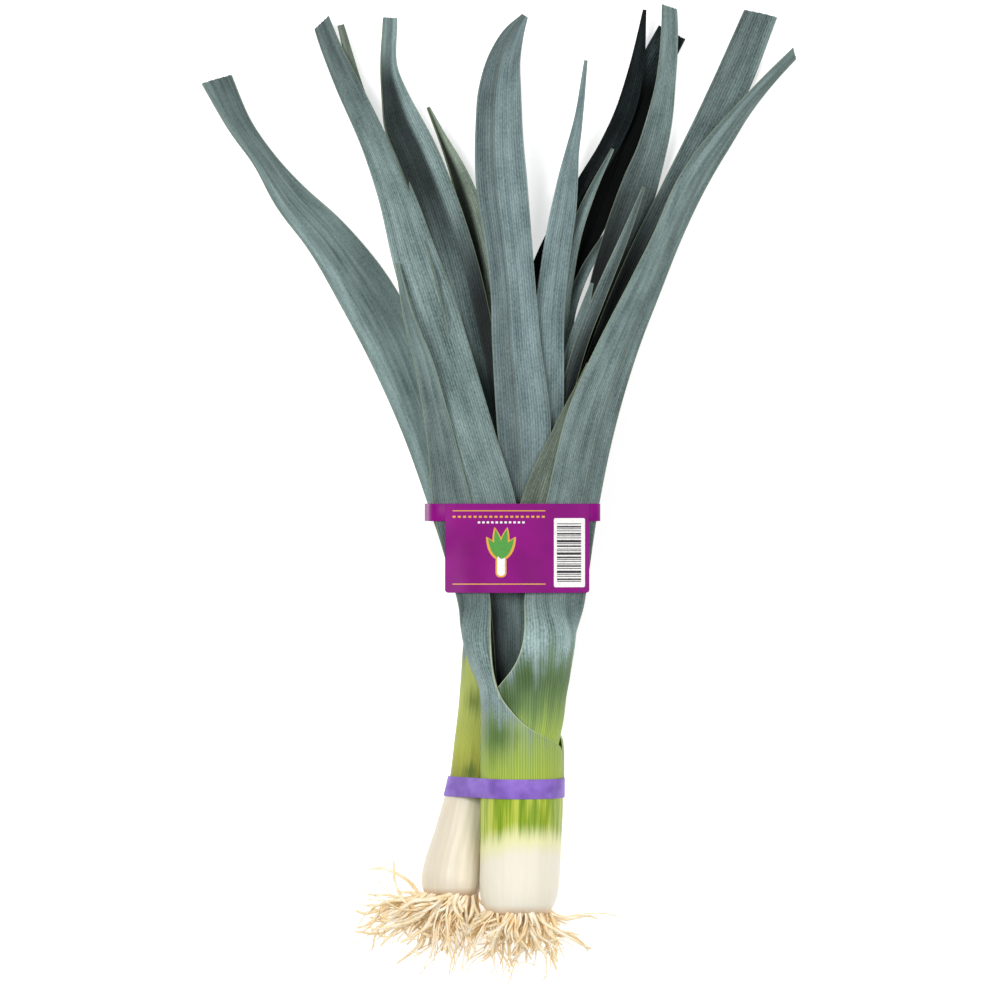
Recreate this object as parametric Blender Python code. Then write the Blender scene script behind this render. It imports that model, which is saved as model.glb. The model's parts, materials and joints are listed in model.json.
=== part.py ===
"""A bunch of two leeks, lying on a table, held by a rubber band and by a tag round the leaves.

The roots point to -Y and the leaves to +Y, with the table at z = 0. Sizes are in millimetres, and
MM turns them into metres where a mesh is made. Both shanks are turned solids. Each leaf is a
ribbon of its own, and the leaves are laid one on another from the bottom of the pile up.
"""

import math
import random

import bmesh
import bpy
import numpy as np
from mathutils import Vector

MM = 0.001

LEAF_THICKNESS = 1.2
GAP = 0.35
PILE_GAP = 0.42

SHANK_SIDES = 32
# Rings of a shank from the root end up: x, y, z of its axis, then its radius.
BACK_SHANK = [
    (-24.0, -199.2, 14.0, 9.0), (-24.0, -197.8, 14.2, 12.0), (-24.0, -195.0, 14.5, 14.2),
    (-24.0, -190.5, 15.2, 15.6), (-23.0, -180.0, 14.15, 14.5), (-19.6, -165.5, 13.6, 13.0),
    (-16.2, -149.0, 13.7, 11.6),
]
FRONT_SHANK = [
    (9.0, -207.0, 27.0, 11.5), (9.0, -205.6, 27.2, 15.0), (9.1, -202.8, 27.4, 17.4),
    (9.4, -198.0, 27.6, 19.1), (9.7, -191.0, 27.9, 19.9), (10.2, -180.0, 28.6, 20.1),
    (10.5, -165.0, 30.0, 20.4), (10.8, -149.0, 32.0, 20.6),
]
STEP_Y = -146.0  # the shanks step in to the inner sheaths here, under the rubber band
BACK_CORE_RADIUS = 9.0
FRONT_CORE_RADIUS = 15.0
# The core narrows as its sheaths open into leaves: y, then its share of the full radius.
CORE_TAPER = [(STEP_Y, 1.0), (-136.0, 1.0), (-124.5, 0.97), (-112.0, 0.8), (-100.5, 0.6)]

# Axis of each shank above the step: y, x, z. The sheaths and the core follow it.
BACK_AXIS = [(-149.0, -16.2, 13.7), (-138.5, -13.6, 13.5), (-124.5, -12.2, 12.0),
             (-104.5, -9.8, 11.4), (-90.0, -9.0, 11.4), (-70.0, -7.5, 11.4)]
FRONT_AXIS = [(-149.0, 10.8, 32.0), (-138.5, 10.9, 34.2), (-124.5, 10.9, 35.4),
              (-104.5, 11.1, 36.4), (-90.0, 11.0, 36.6), (-80.0, 10.0, 36.4), (-70.0, 9.2, 36.0)]

# Sheaths, from the band up: y, half width, half height, angle of the left margin, of the right one.
# Angles turn in degrees from +X over +Z, so 90 faces the camera that looks down on the bunch.
SHEATHS = {
    "back_leaf_outer": (BACK_AXIS, [
        (-145.0, 11.0, 11.0, 358, 2), (-132.0, 10.7, 10.7, 358, 2), (-118.0, 10.6, 10.6, 340, 8),
        (-104.5, 10.6, 10.6, 300, 30), (-90.0, 10.2, 10.2, 262, 60), (-76.0, 10.4, 10.0, 240, 74)]),
    "front_leaf_left": (FRONT_AXIS, [
        (-145.0, 20.2, 20.2, 358, 2), (-134.0, 20.2, 20.2, 358, 2), (-123.0, 20.2, 20.2, 356, 5),
        (-119.5, 20.2, 20.2, 348, 44), (-116.0, 20.2, 20.2, 335, 67), (-112.0, 20.2, 20.2, 315, 86),
        (-105.0, 20.2, 20.2, 272, 105), (-98.0, 20.4, 20.1, 226, 122), (-92.0, 21.2, 19.8, 206, 129),
        (-84.0, 24.4, 19.0, 196, 126), (-70.0, 27.2, 17.6, 190, 121)]),
    "front_leaf_right": (FRONT_AXIS, [
        (-145.0, 17.1, 17.1, 178, -178), (-126.0, 17.1, 17.1, 178, -178),
        (-110.0, 17.2, 17.1, 172, -140), (-98.0, 18.2, 17.3, 144, -92), (-92.5, 19.3, 17.2, 128, -72),
        (-85.0, 21.6, 17.6, 106, -52), (-78.0, 24.0, 17.0, 95, -42), (-69.0, 27.0, 16.2, 88, -34)]),
}

# Leaves from the bottom of the pile up. "path" holds x, y and the width across the blade, from
# the neck to the tip. "rise" is the height of the mid line at the neck, at the tag and at the
# tip, before the pile lifts it. "fold" gives where the keel lies across the blade, from 0 left to
# 1 right, and how steeply the left and the right side fall from it; less than 0 makes a gutter.
LEAVES = {
    "back_leaf_dark_wide": dict(
        path=[(10, -95, 9), (14, -50, 13), (17.5, 0, 13), (23, 50, 13), (35, 107.5, 14),
              (51.5, 152.5, 15.5), (60, 175, 15.5), (78, 219, 15.5), (86.5, 235, 15)],
        rise=(3, 3, 4), fold=(0.5, -0.3, -0.3)),
    "back_leaf_dark_curled": dict(
        path=[(4, -95, 9), (7, -50, 12), (9, 0, 12), (10, 50, 11), (14, 95, 10), (22.5, 121, 9.5),
              (44, 160, 9.5), (54.5, 177.5, 9.5), (63, 196, 9.5), (68, 215, 7.5), (72.5, 246, 1.6)],
        rise=(5, 5, 9), fold=(0.6, 0.2, 0.9)),
    "back_leaf_split": dict(
        path=[(-1, -95, 10), (1.5, -50, 15), (2.5, 0, 16), (0, 50, 17), (-5, 95, 16),
              (-9.5, 125, 14), (-15, 147.5, 11.5), (-21, 164.5, 8.5), (-28.5, 181, 4.5), (-36, 197, 1.6)],
        rise=(6.5, 6, 12), fold=(0.45, -0.7, -0.35)),
    "back_leaf_outer": dict(
        path=[(-14.5, -50, 13), (-24.5, -8, 18.5), (-39.5, 42, 24), (-53.5, 77.5, 28),
              (-67, 103, 28), (-87, 132, 22.5), (-106, 153, 17), (-119, 171.5, 11.5), (-130, 187, 12),
              (-143, 212.5, 15.5)],
        rise=(12, 3, 0.6), fold=(0.3, 0.15, 0.35)),
    "back_leaf_hidden": dict(
        path=[(7.5, -95, 8), (14, -30, 8), (24, 30, 9), (31, 70, 8.5), (36.5, 97, 7.5),
              (44.5, 116, 6.5), (53.5, 132, 4.5), (61, 144, 1.6)],
        rise=(8, 8, 8), fold=(0.5, 0.2, 0.2)),
    "back_leaf_straight": dict(
        path=[(11, -95, 9), (20, -50, 13), (26.5, 0, 14), (40, 65, 16), (56.5, 119, 19),
              (64, 140, 19), (70.5, 159, 18), (76, 175, 15), (80, 191, 13), (82.5, 205, 10.5),
              (85, 235, 8.5), (85, 247.5, 7.5)],
        rise=(9.5, 10, 11), fold=(0.4, 0.1, 0.25)),
    "back_leaf_sliver": dict(
        path=[(-5, -95, 9), (-8, -50, 11), (-13, 0, 13), (-22.5, 50, 14), (-37.5, 100, 13),
              (-50, 142.5, 11), (-61, 175, 8.5), (-71, 205, 6), (-80, 238.5, 3.5)],
        rise=(11, 9, 8), fold=(0.5, 0.15, 0.15)),
    "back_leaf_gutter": dict(
        path=[(1, -95, 10), (4, -50, 16), (2.5, -10, 19), (-8, 50, 22), (-15, 85, 23),
              (-22.5, 117.5, 23), (-32, 148, 21), (-41.5, 172, 18), (-48.5, 187.5, 14),
              (-53.5, 201.5, 10), (-56, 214.5, 8.5), (-55, 241.5, 7)],
        rise=(12.5, 12, 16), fold=(0.35, -0.8, -0.25)),
    "back_leaf_thin": dict(
        path=[(10, -95, 7), (15, -40, 8), (22.5, 25, 9), (28, 75, 9.5), (32.5, 110, 8.5),
              (38.5, 136, 6.5), (45, 152.5, 4.5), (56.5, 176, 1.6)],
        rise=(14, 14, 14), fold=(0.5, 0.2, 0.2)),
    "front_leaf_folded": dict(
        path=[(18, -94, 12), (25, -50, 16), (32.5, 0, 17), (48.5, 60, 17.5), (70, 114, 18.5),
              (89.5, 154, 18.5), (109, 193.5, 18.5), (118, 213, 18.5), (131, 244.5, 16.5)],
        rise=(24, 20, 6), fold=(0.55, 0.25, 0.6)),
    "front_leaf_spike": dict(
        path=[(15, -94, 6), (24, -30, 6.5), (29, 25, 7.5), (33, 55, 8), (35, 68.5, 7.5),
              (38, 80.5, 7), (41, 91, 5.5), (46, 108.5, 1.6)],
        rise=(26, 22, 20), fold=(0.5, 0.2, 0.2)),
    "front_leaf_narrow": dict(
        path=[(14, -94, 7), (21, -40, 7), (28, 15, 7), (34.5, 57.5, 6.5), (40, 76.5, 6.5),
              (51.5, 106, 6), (63.5, 134.5, 4), (72, 156.5, 1.6)],
        rise=(28, 24, 24), fold=(0.5, 0.2, 0.2)),
    "front_leaf_blade": dict(
        path=[(13, -94, 11), (16, -45, 13), (20, 0, 15), (23.5, 44, 16), (25, 95, 14.5),
              (29, 128, 13.5), (32, 146, 12.5), (34, 160.5, 10), (36, 173.5, 7), (38.5, 186, 5),
              (43, 220, 1.6)],
        rise=(30, 26, 20), fold=(0.35, 0.3, 0.15)),
    "front_leaf_centre": dict(
        path=[(10, -94, 15), (10, -45, 18), (13, 0, 22), (12, 35, 26.5), (8, 80, 24),
              (6.5, 105, 22.5), (4, 130, 23.5), (1, 156, 25.5), (-0.5, 186, 23.5), (0, 205.5, 21),
              (2, 219.5, 16.5), (6.5, 232, 11), (12.5, 242, 3.5)],
        rise=(33, 30, 24), fold=(0.45, -0.22, -0.22)),
    "front_leaf_short": dict(
        path=[(10, -94, 10), (11, -45, 13), (16.5, -5, 14), (22.5, 14, 12), (28, 29, 8.5),
              (33.5, 44, 5), (39, 57, 2.5), (44, 68, 1.6)],
        rise=(37, 32, 28), fold=(0.5, 0.2, 0.2)),
    "front_leaf_broad": dict(
        path=[(5, -94, 13), (3.5, -46.5, 18), (-3.5, 0, 21.5), (-12.5, 28.5, 22), (-28, 76.5, 24.5),
              (-35.5, 100, 25), (-42.5, 121, 22.5), (-51.5, 150.5, 18), (-62, 177, 14),
              (-77.5, 210.5, 12), (-85, 227.5, 10), (-89.5, 239.5, 9)],
        rise=(41, 33, 10), fold=(0.45, 0.12, 0.3)),
    "front_leaf_right": dict(
        path=[(27.5, -46.5, 30), (36, -1.5, 26), (46.5, 44, 24.5), (58, 74.5, 20), (73.5, 109, 16),
              (82, 128, 14), (95.5, 157.5, 14.5), (103, 170, 13.5), (111.5, 182, 11.5),
              (120.5, 194, 8.5), (136, 212, 6), (148.5, 225, 5)],
        rise=(44, 34, 7), fold=(0.7, 0.2, 0.6)),
    "front_leaf_left": dict(
        path=[(-13.5, -46.5, 16.5), (-24, -1.5, 19), (-28.5, 25, 14.5), (-33, 47.5, 11.5),
              (-38.5, 70, 9), (-44.5, 87.5, 6), (-51.5, 119, 1.6)],
        rise=(40, 30, 14), fold=(0.5, 0.25, 0.25)),
}
BLADE_STEP = 17.0  # length of blade between two rows of its mesh
BLADE_COLUMNS = 4
NECK_Y = -95.0  # blades lie flat on each other here, and reach their full fold at the next place
FOLD_FULL_Y = 30.0
SHEATH_COLUMNS = 10
SHEATH_STEP = 6.0
TAG_MIDDLE_Y = -25.0  # where the "tag" height of a blade's rise is taken
DROOP = (0.55, 0.65)  # this far from the tag to the tip, a blade has sunk by this share
LIFT_REACH = 26.0  # a blade that is lifted over another comes down again over this length
SAMPLE_ACROSS = 8  # points taken across and along each cell of a leaf, to measure the pile
SAMPLE_ALONG = 20

# "fan" is the spread of the roots in degrees from -Y, left to right, and "reach" the shortest
# root, the longest that points along -Y and the longest that points to the side.
ROOT_TUFTS = {
    "back_roots": dict(
        centre=(-24.0, -199.6, 14.0), plate=8.5, roots=28, seed=7, fan=(-86, 14), reach=(16, 40, 58)),
    "front_roots": dict(
        centre=(9.0, -207.4, 27.0), plate=11.0, roots=30, seed=21, fan=(-44, 58), reach=(16, 39, 33)),
}
ROOT_RADIUS = (0.65, 1.25)
ROOT_TIP = 0.45  # a root's tip is this share of its thickness at the plate
ROOT_SIDES = 3
ROOT_PARTS = 5
ROOT_SUNK = 2.0  # how far a root starts back inside the plate
ROOT_LOW_Z = 1.3  # the lowest that a root's middle line lies
ROOT_ARCH = 2.0
ROOT_PLATE = [(-3.4, 0.7), (-1.8, 1.0), (0.0, 1.0)]  # depth along Y, share of the plate's radius
PARTING = ((-11.0, -199.0), (-24.0, -244.0))  # the line between the two tufts, seen from above
PARTING_ROOM = 1.7

BAND_Y = (-148.2, -138.4)
BAND_THICKNESS = 1.1
BAND_POINTS = 44
BACK_SHEATH_RADIUS = 11.7  # outside of the sheaths that the band is stretched round
FRONT_SHEATH_RADIUS = 20.8

TAG_STRAP_Y = (-10.5, -1.8)
TAG_PANEL_Y = -46.0
TAG_PANEL_X = (-27.2, 44.2)
TAG_THICKNESS = 0.7
TAG_POINTS = 48
TAG_ROWS = 3
TAG_REACH = 18.0  # the strap's line clears the leaves this far below it too, for the panel
TAG_ROOM = 1.3  # room for the strap between the pile and the table
TAG_ROOM_X = (-40.0, 54.0)
TAG_ROOM_MARGIN = 8.0
PANEL_LAP = 1.0  # the panel starts this far under the strap's lower edge
PANEL_ROOM = 0.6

COLOURS = {
    "white_shank": (0.83, 0.79, 0.66, 1), "root": (0.78, 0.62, 0.38, 1),
    "leaf": (0.14, 0.22, 0.20, 1), "rubber": (0.25, 0.12, 0.55, 1), "tag": (0.24, 0.02, 0.21, 1),
}


def clear_scene():
    for obj in list(bpy.data.objects):
        bpy.data.objects.remove(obj, do_unlink=True)


def material(name, colour, roughness):
    mat = bpy.data.materials.new(name)
    mat.use_nodes = True
    shader = mat.node_tree.nodes["Principled BSDF"]
    shader.inputs["Base Color"].default_value = COLOURS[colour]
    shader.inputs["Roughness"].default_value = roughness
    shader.inputs["Metallic"].default_value = 0.0
    return mat


def add_object(name, points, faces, mat):
    """An object from points in millimetres, with its material, shaded smooth."""
    mesh = bpy.data.meshes.new(name)
    mesh.from_pydata([Vector(p) * MM for p in points], [], faces)
    mesh.validate()
    mesh.shade_smooth()
    mesh.set_sharp_from_angle(angle=math.radians(50))
    obj = bpy.data.objects.new(name, mesh)
    obj.data.materials.append(mat)
    bpy.context.scene.collection.objects.link(obj)
    return obj


def grid_faces(rows, columns, start=0, flip=False, ring=False):
    """Triangles between rows of points. All are split along the same way."""
    faces = []
    for i in range(rows - 1):
        for j in range(columns if ring else columns - 1):
            a = start + i * columns + j
            b = start + i * columns + (j + 1) % columns
            c, d = a + columns, b + columns
            for face in ((a, b, d), (a, d, c)):
                faces.append(face[::-1] if flip else face)
    return faces


def rim_faces(rows, columns):
    """Triangles round the edge of two sheets of rows * columns points, the second after the first."""
    total = rows * columns
    rim = [(0, j) for j in range(columns)]
    rim += [(i, columns - 1) for i in range(1, rows)]
    rim += [(rows - 1, j) for j in range(columns - 2, -1, -1)]
    rim += [(i, 0) for i in range(rows - 2, 0, -1)]
    faces = []
    for (i, j), (k, m) in zip(rim, rim[1:] + rim[:1]):
        a, b = i * columns + j, k * columns + m
        faces += [(b, a, a + total), (b, a + total, b + total)]
    return faces


def shank(name, rings, mat):
    """A turned shank: one ring of points for each station, closed by a flat face at both ends."""
    points = []
    for x, y, z, radius in rings:
        for k in range(SHANK_SIDES):
            turn = 2 * math.pi * k / SHANK_SIDES - math.pi / 2
            points.append((x + radius * math.cos(turn), y, max(0.0, z + radius * math.sin(turn))))
    faces = grid_faces(len(rings), SHANK_SIDES, ring=True)
    faces.append(tuple(range(SHANK_SIDES))[::-1])
    faces.append(tuple(range(len(points) - SHANK_SIDES, len(points))))
    obj = add_object(name, points, faces, mat)
    face_outwards(obj)
    return obj


def face_outwards(obj):
    """Turns every face of a closed mesh outwards."""
    work = bmesh.new()
    work.from_mesh(obj.data)
    bmesh.ops.recalc_face_normals(work, faces=work.faces)
    work.to_mesh(obj.data)
    work.free()


def axis_at(axis, y):
    """The x and z of a shank's axis at y."""
    ys = [a[0] for a in axis]
    return np.interp(y, ys, [a[1] for a in axis]), np.interp(y, ys, [a[2] for a in axis])


def core_rings(axis, radius):
    """The inner sheaths of a shank, from the step under the rubber band to where the leaves part."""
    return [(*axis_xyz(axis, y), radius * share) for y, share in CORE_TAPER]


def axis_xyz(axis, y):
    x, z = axis_at(axis, y)
    return float(x), y, float(z)


def smooth_path(path, step):
    """Evenly spaced points (x, y, width) on a smooth curve through a leaf's stations."""
    stations = np.array(path, float)
    chord = np.r_[0, np.cumsum(np.hypot(*np.diff(stations[:, :2], axis=0).T))]
    slopes = np.gradient(stations, chord, axis=0)
    fine = np.linspace(0, chord[-1], max(4, round(chord[-1] / step)) + 1)
    k = np.clip(np.searchsorted(chord, fine, side="right") - 1, 0, len(chord) - 2)
    span = chord[k + 1] - chord[k]
    t = ((fine - chord[k]) / span)[:, None]
    span = span[:, None]
    curve = (
        (2 * t**3 - 3 * t**2 + 1) * stations[k] + (t**3 - 2 * t**2 + t) * span * slopes[k]
        + (3 * t**2 - 2 * t**3) * stations[k + 1] + (t**3 - t**2) * span * slopes[k + 1]
    )
    return curve, fine


class Pile:
    """Height of what lies under the next leaf, on a grid over the table."""

    CELL = 1.0
    LOW = (-170.0, -270.0)
    SIZE = (340, 540)

    def __init__(self):
        self.top = np.full(self.SIZE, -PILE_GAP)
        self.seen = []
        xs = self.LOW[0] + np.arange(self.SIZE[0]) * self.CELL
        ys = self.LOW[1] + np.arange(self.SIZE[1]) * self.CELL
        in_x = (xs > TAG_ROOM_X[0]) & (xs < TAG_ROOM_X[1])
        in_y = (ys > TAG_STRAP_Y[0] - TAG_ROOM_MARGIN) & (ys < TAG_STRAP_Y[1] + TAG_ROOM_MARGIN)
        self.top[np.ix_(in_x, in_y)] = TAG_ROOM

    def cell(self, x, y):
        i = np.round((x - self.LOW[0]) / self.CELL).astype(int)
        j = np.round((y - self.LOW[1]) / self.CELL).astype(int)
        return i, j

    def under(self, x, y):
        """The highest point within one cell of each place."""
        i, j = self.cell(x, y)
        near = [self.top[i + a, j + b] for a in (-1, 0, 1) for b in (-1, 0, 1)]
        return np.max(near, axis=0)

    def add(self, x, y, low, high):
        i, j = self.cell(x, y)
        np.maximum.at(self.top, (i, j), high)
        self.seen.append(np.stack([x, y, low, high], axis=1))

    def samples(self, y_low, y_high):
        every = np.concatenate(self.seen)
        return every[(every[:, 1] >= y_low) & (every[:, 1] <= y_high)]


def triangle_samples(rows):
    """Points spread over each pair of triangles of a grid."""
    f, g = np.meshgrid(np.linspace(0, 1, SAMPLE_ALONG), np.linspace(0, 1, SAMPLE_ACROSS), indexing="ij")
    f, g = f.reshape(-1, 1), g.reshape(-1, 1)
    a, b = rows[:-1, :-1, None], rows[:-1, 1:, None]
    c, d = rows[1:, :-1, None], rows[1:, 1:, None]
    lower = a + g * (b - a) + f * (d - b)
    upper = a + f * (c - a) + g * (d - c)
    return np.where(g >= f, lower, upper)


def blade_rows(leaf, columns):
    """Rows of a blade's mid surface, with heights relative to the keel, and the free heights."""
    curve, along = smooth_path(leaf["path"], BLADE_STEP)
    heading = np.gradient(curve[:, :2], axis=0)
    heading /= np.linalg.norm(heading, axis=1)[:, None]
    across = np.stack([heading[:, 1], -heading[:, 0]], axis=1)
    keel, left_fall, right_fall = leaf["fold"]
    half = columns // 2
    u = np.r_[np.linspace(0, keel, half + 1), np.linspace(keel, 1, columns - half + 1)[1:]]
    fall = np.where(u < keel, left_fall * (keel - u), right_fall * (u - keel))
    offset = (u - 0.5)[None, :, None] * curve[:, None, 2:3] * across[:, None, :]
    xy = curve[:, None, :2] + offset
    opened = np.clip((curve[:, 1:2] - NECK_Y) / (FOLD_FULL_Y - NECK_Y), 0, 1)
    drop = -fall[None, :] * curve[:, 2:3] * opened**2 * (3 - 2 * opened)
    steep = np.sqrt(1 + np.maximum(abs(left_fall), abs(right_fall)) ** 2)
    neck, tag, tip = leaf["rise"]
    tag_at = np.interp(TAG_MIDDLE_Y, curve[:, 1], along)
    part, sunk = DROOP
    free = np.interp(along, [0, tag_at, tag_at + part * (along[-1] - tag_at), along[-1]],
                     [neck, tag, tag + sunk * (tip - tag), tip])
    return xy, drop, free, steep, along


def spread_up(need, along, reach):
    """A smooth curve that stays on or over what is needed at each row."""
    held = np.array([need[np.abs(along - s) <= reach].max() for s in along])
    weight = np.exp(-((along[:, None] - along[None]) / (0.6 * reach)) ** 2)
    return np.maximum(need, (weight * held).sum(axis=1) / weight.sum(axis=1))


def lay_blade(leaf, pile, columns):
    """Rows of a blade laid over the pile: points of its mid surface."""
    xy, drop, free, steep, along = blade_rows(leaf, columns)
    thick = LEAF_THICKNESS * steep
    flat = np.concatenate([xy, drop[:, :, None]], axis=2)
    spots = triangle_samples(flat)
    under = pile.under(spots[..., 0], spots[..., 1])
    need = (under - spots[..., 2]).max(axis=(1, 2)) + thick / 2 + PILE_GAP * steep
    need_row = np.maximum(np.r_[need, need[-1]], np.r_[need[0], need])
    height = spread_up(np.maximum(need_row, free), along, LIFT_REACH)
    rows = np.concatenate([xy, (height[:, None] + drop)[:, :, None]], axis=2)
    rows[:, :, 2] = np.maximum(rows[:, :, 2], thick / 2)
    return rows, thick


def sheath_rows(name, columns):
    """Rows of a sheath that hugs its shank, from the rubber band to where its blade starts."""
    axis, sections = SHEATHS[name]
    given = np.array(sections, float)
    count = round((given[-1, 0] - given[0, 0]) / SHEATH_STEP) + 1
    ys = np.linspace(given[0, 0], given[-1, 0], count)
    rows = []
    for y in ys:
        half_width, half_height, left, right = (np.interp(y, given[:, 0], g) for g in given.T[1:])
        x, z = axis_at(axis, y)
        turn = np.radians(np.linspace(left, right, columns + 1))
        rows.append(np.stack([x + half_width * np.cos(turn), np.full(columns + 1, y),
                              z + half_height * np.sin(turn)], axis=1))
    return np.array(rows)


def joined(sheath, blade):
    """The sheath passes into the blade over two rows that lie between them."""
    last, first = sheath[-1], blade[0]
    steps = [last + (first - last) * t for t in (1 / 3, 2 / 3)]
    return np.concatenate([sheath, steps, blade])


def ribbon(name, rows, mat):
    """A closed leaf of even thickness round its mid surface."""
    along = np.gradient(rows, axis=0)
    across = np.gradient(rows, axis=1)
    normal = np.cross(across, along)
    normal /= np.linalg.norm(normal, axis=2)[:, :, None]
    top = rows + normal * LEAF_THICKNESS / 2
    bottom = rows - normal * LEAF_THICKNESS / 2
    bottom[:, :, 2] = np.maximum(bottom[:, :, 2], 0.0)
    count, columns = rows.shape[:2]
    total = count * columns
    points = np.concatenate([top.reshape(-1, 3), bottom.reshape(-1, 3)])
    faces = grid_faces(count, columns) + grid_faces(count, columns, start=total, flip=True)
    faces += rim_faces(count, columns)
    obj = add_object(name, points.tolist(), faces, mat)
    face_outwards(obj)
    return obj


def leaves(pile):
    """Lays every leaf on the pile, from the bottom up."""
    green = material("leaf_green", "leaf", 0.5)
    for name, leaf in LEAVES.items():
        columns = SHEATH_COLUMNS if name in SHEATHS else BLADE_COLUMNS
        rows, thick = lay_blade(leaf, pile, columns)
        if name in SHEATHS:
            rows = joined(sheath_rows(name, columns), rows)
        spots = triangle_samples(rows).reshape(-1, 3)
        pile.add(spots[:, 0], spots[:, 1], spots[:, 2] - thick / 2, spots[:, 2] + thick / 2)
        ribbon(name, rows, green)


def root_path(rng, tuft):
    """The middle line of one root: out of the plate, then bending down to the table."""
    cx, cy, cz = tuft["centre"]
    turn, out = rng.uniform(0, 2 * math.pi), tuft["plate"] * math.sqrt(rng.uniform(0, 0.8))
    start = Vector((cx + out * math.cos(turn), cy - 1.2, cz + out * math.sin(turn)))
    low, high = tuft["fan"]
    outward = (high if math.cos(turn) > 0 else low) * abs(math.cos(turn))
    fan = math.radians(0.55 * rng.uniform(low, high) + 0.45 * outward)
    shortest, longest_down, longest_side = tuft["reach"]
    length = rng.uniform(shortest, longest_down + (longest_side - longest_down) * abs(math.sin(fan)))
    bend, curl = rng.uniform(-0.5, 0.5), rng.uniform(-3, 3)
    end_z = ROOT_LOW_Z + rng.uniform(0, 0.55 * start.z)
    points = [start + Vector((0, ROOT_SUNK, 0))]
    for k in range(ROOT_PARTS):
        t = (k + 1) / ROOT_PARTS
        heading = fan * min(1.0, 0.35 + t) + bend * t * t
        along = length * t
        x = start.x + along * math.sin(heading) + curl * math.sin(math.pi * t)
        y = start.y - along * math.cos(heading) - 1.0
        z = start.z + (end_z - start.z) * t**1.4 + ROOT_ARCH * math.sin(math.pi * t)
        points.append(Vector((x, y, max(z, ROOT_LOW_Z))))
    return points


def keep_apart(points, side):
    """Roots of one tuft stay on their own side of the parting."""
    (ax, ay), (bx, by) = PARTING
    kept = []
    for p in points:
        line_x = ax + (bx - ax) * (p.y - ay) / (by - ay)
        x = min(p.x, line_x - PARTING_ROOM) if side < 0 else max(p.x, line_x + PARTING_ROOM)
        kept.append(Vector((x, p.y, p.z)))
    return kept


def strand(name, path, radius, mat):
    """One root: a slim tube of few sides that thins to its tip."""
    points = []
    for k, centre in enumerate(path):
        ahead = path[min(k + 1, len(path) - 1)] - path[max(k - 1, 0)]
        frame = ahead.normalized().to_track_quat("Z", "Y")
        size = radius * (1.0 - (1.0 - ROOT_TIP) * k / (len(path) - 1))
        for s in range(ROOT_SIDES):
            turn = 2 * math.pi * s / ROOT_SIDES
            points.append(centre + frame @ Vector((size * math.cos(turn), size * math.sin(turn), 0)))
    faces = grid_faces(len(path), ROOT_SIDES, ring=True)
    faces.append(tuple(range(ROOT_SIDES))[::-1])
    faces.append(tuple(range(len(points) - ROOT_SIDES, len(points))))
    obj = add_object(name, points, faces, mat)
    face_outwards(obj)
    return obj


def root_tuft(name, tuft, side, mat):
    """A root plate with its strands, fused into one body."""
    rng = random.Random(tuft["seed"])
    cx, cy, cz = tuft["centre"]
    plate = shank(name, [(cx, cy + depth, cz, tuft["plate"] * share) for depth, share in ROOT_PLATE], mat)
    group = bpy.data.collections.new(name + "_strands")
    bpy.context.scene.collection.children.link(group)
    strands = []
    for k in range(tuft["roots"]):
        path = keep_apart(root_path(rng, tuft), side)
        path[0].y = min(path[0].y, cy - 0.6)
        piece = strand(f"{name}_{k:02d}", path, rng.uniform(*ROOT_RADIUS), mat)
        bpy.context.scene.collection.objects.unlink(piece)
        group.objects.link(piece)
        strands.append(piece)
    join = plate.modifiers.new("fuse", "BOOLEAN")
    join.operation = "UNION"
    join.operand_type = "COLLECTION"
    join.collection = group
    join.solver = "EXACT"
    join.use_self = True
    with bpy.context.temp_override(object=plate, active_object=plate):
        bpy.ops.object.modifier_apply(modifier=join.name)
    for piece in strands:
        bpy.data.objects.remove(piece, do_unlink=True)
    bpy.data.collections.remove(group)
    keep_outer_skin(plate)


def keep_outer_skin(obj):
    """Fills the small hollows that crossing strands seal: only the largest shell of faces stays."""
    work = bmesh.new()
    work.from_mesh(obj.data)
    left, shells = set(work.verts), []
    while left:
        shell, edge = set(), [left.pop()]
        while edge:
            vert = edge.pop()
            shell.add(vert)
            near = {e.other_vert(vert) for e in vert.link_edges} & left
            left -= near
            edge.extend(near)
        shells.append(shell)
    outer = max(shells, key=len)
    bmesh.ops.delete(work, geom=[v for v in work.verts if v not in outer], context="VERTS")
    work.to_mesh(obj.data)
    work.free()


def taut_round(circles, count):
    """A taut loop round circles (x, z, radius), seen along Y."""
    loop = []
    for k in range(count):
        turn = 2 * math.pi * (k + 0.5) / count
        nx, nz = math.cos(turn), math.sin(turn)
        x, z, radius = max(circles, key=lambda c: c[0] * nx + c[1] * nz + c[2])
        loop.append((x + radius * nx, z + radius * nz))
    return loop


def closed_strip(name, loops, thickness, mat):
    """A band from loops of (x, y, z) points, made thick outwards."""
    loops = np.array(loops)
    ahead = np.roll(loops, -1, axis=1) - np.roll(loops, 1, axis=1)
    outward = np.stack([ahead[..., 2], np.zeros_like(ahead[..., 0]), -ahead[..., 0]], axis=-1)
    outward /= np.linalg.norm(outward, axis=2)[:, :, None]
    outer = loops + outward * thickness
    rows, count = loops.shape[:2]
    total = rows * count
    points = np.concatenate([loops.reshape(-1, 3), outer.reshape(-1, 3)])
    faces = grid_faces(rows, count, ring=True) + grid_faces(rows, count, start=total, flip=True, ring=True)
    for row in (0, rows - 1):
        for j in range(count):
            a, b = row * count + j, row * count + (j + 1) % count
            rim = [(a, b, b + total), (a, b + total, a + total)]
            faces += rim if row == 0 else [face[::-1] for face in rim]
    obj = add_object(name, points.tolist(), faces, mat)
    face_outwards(obj)
    return obj


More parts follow.
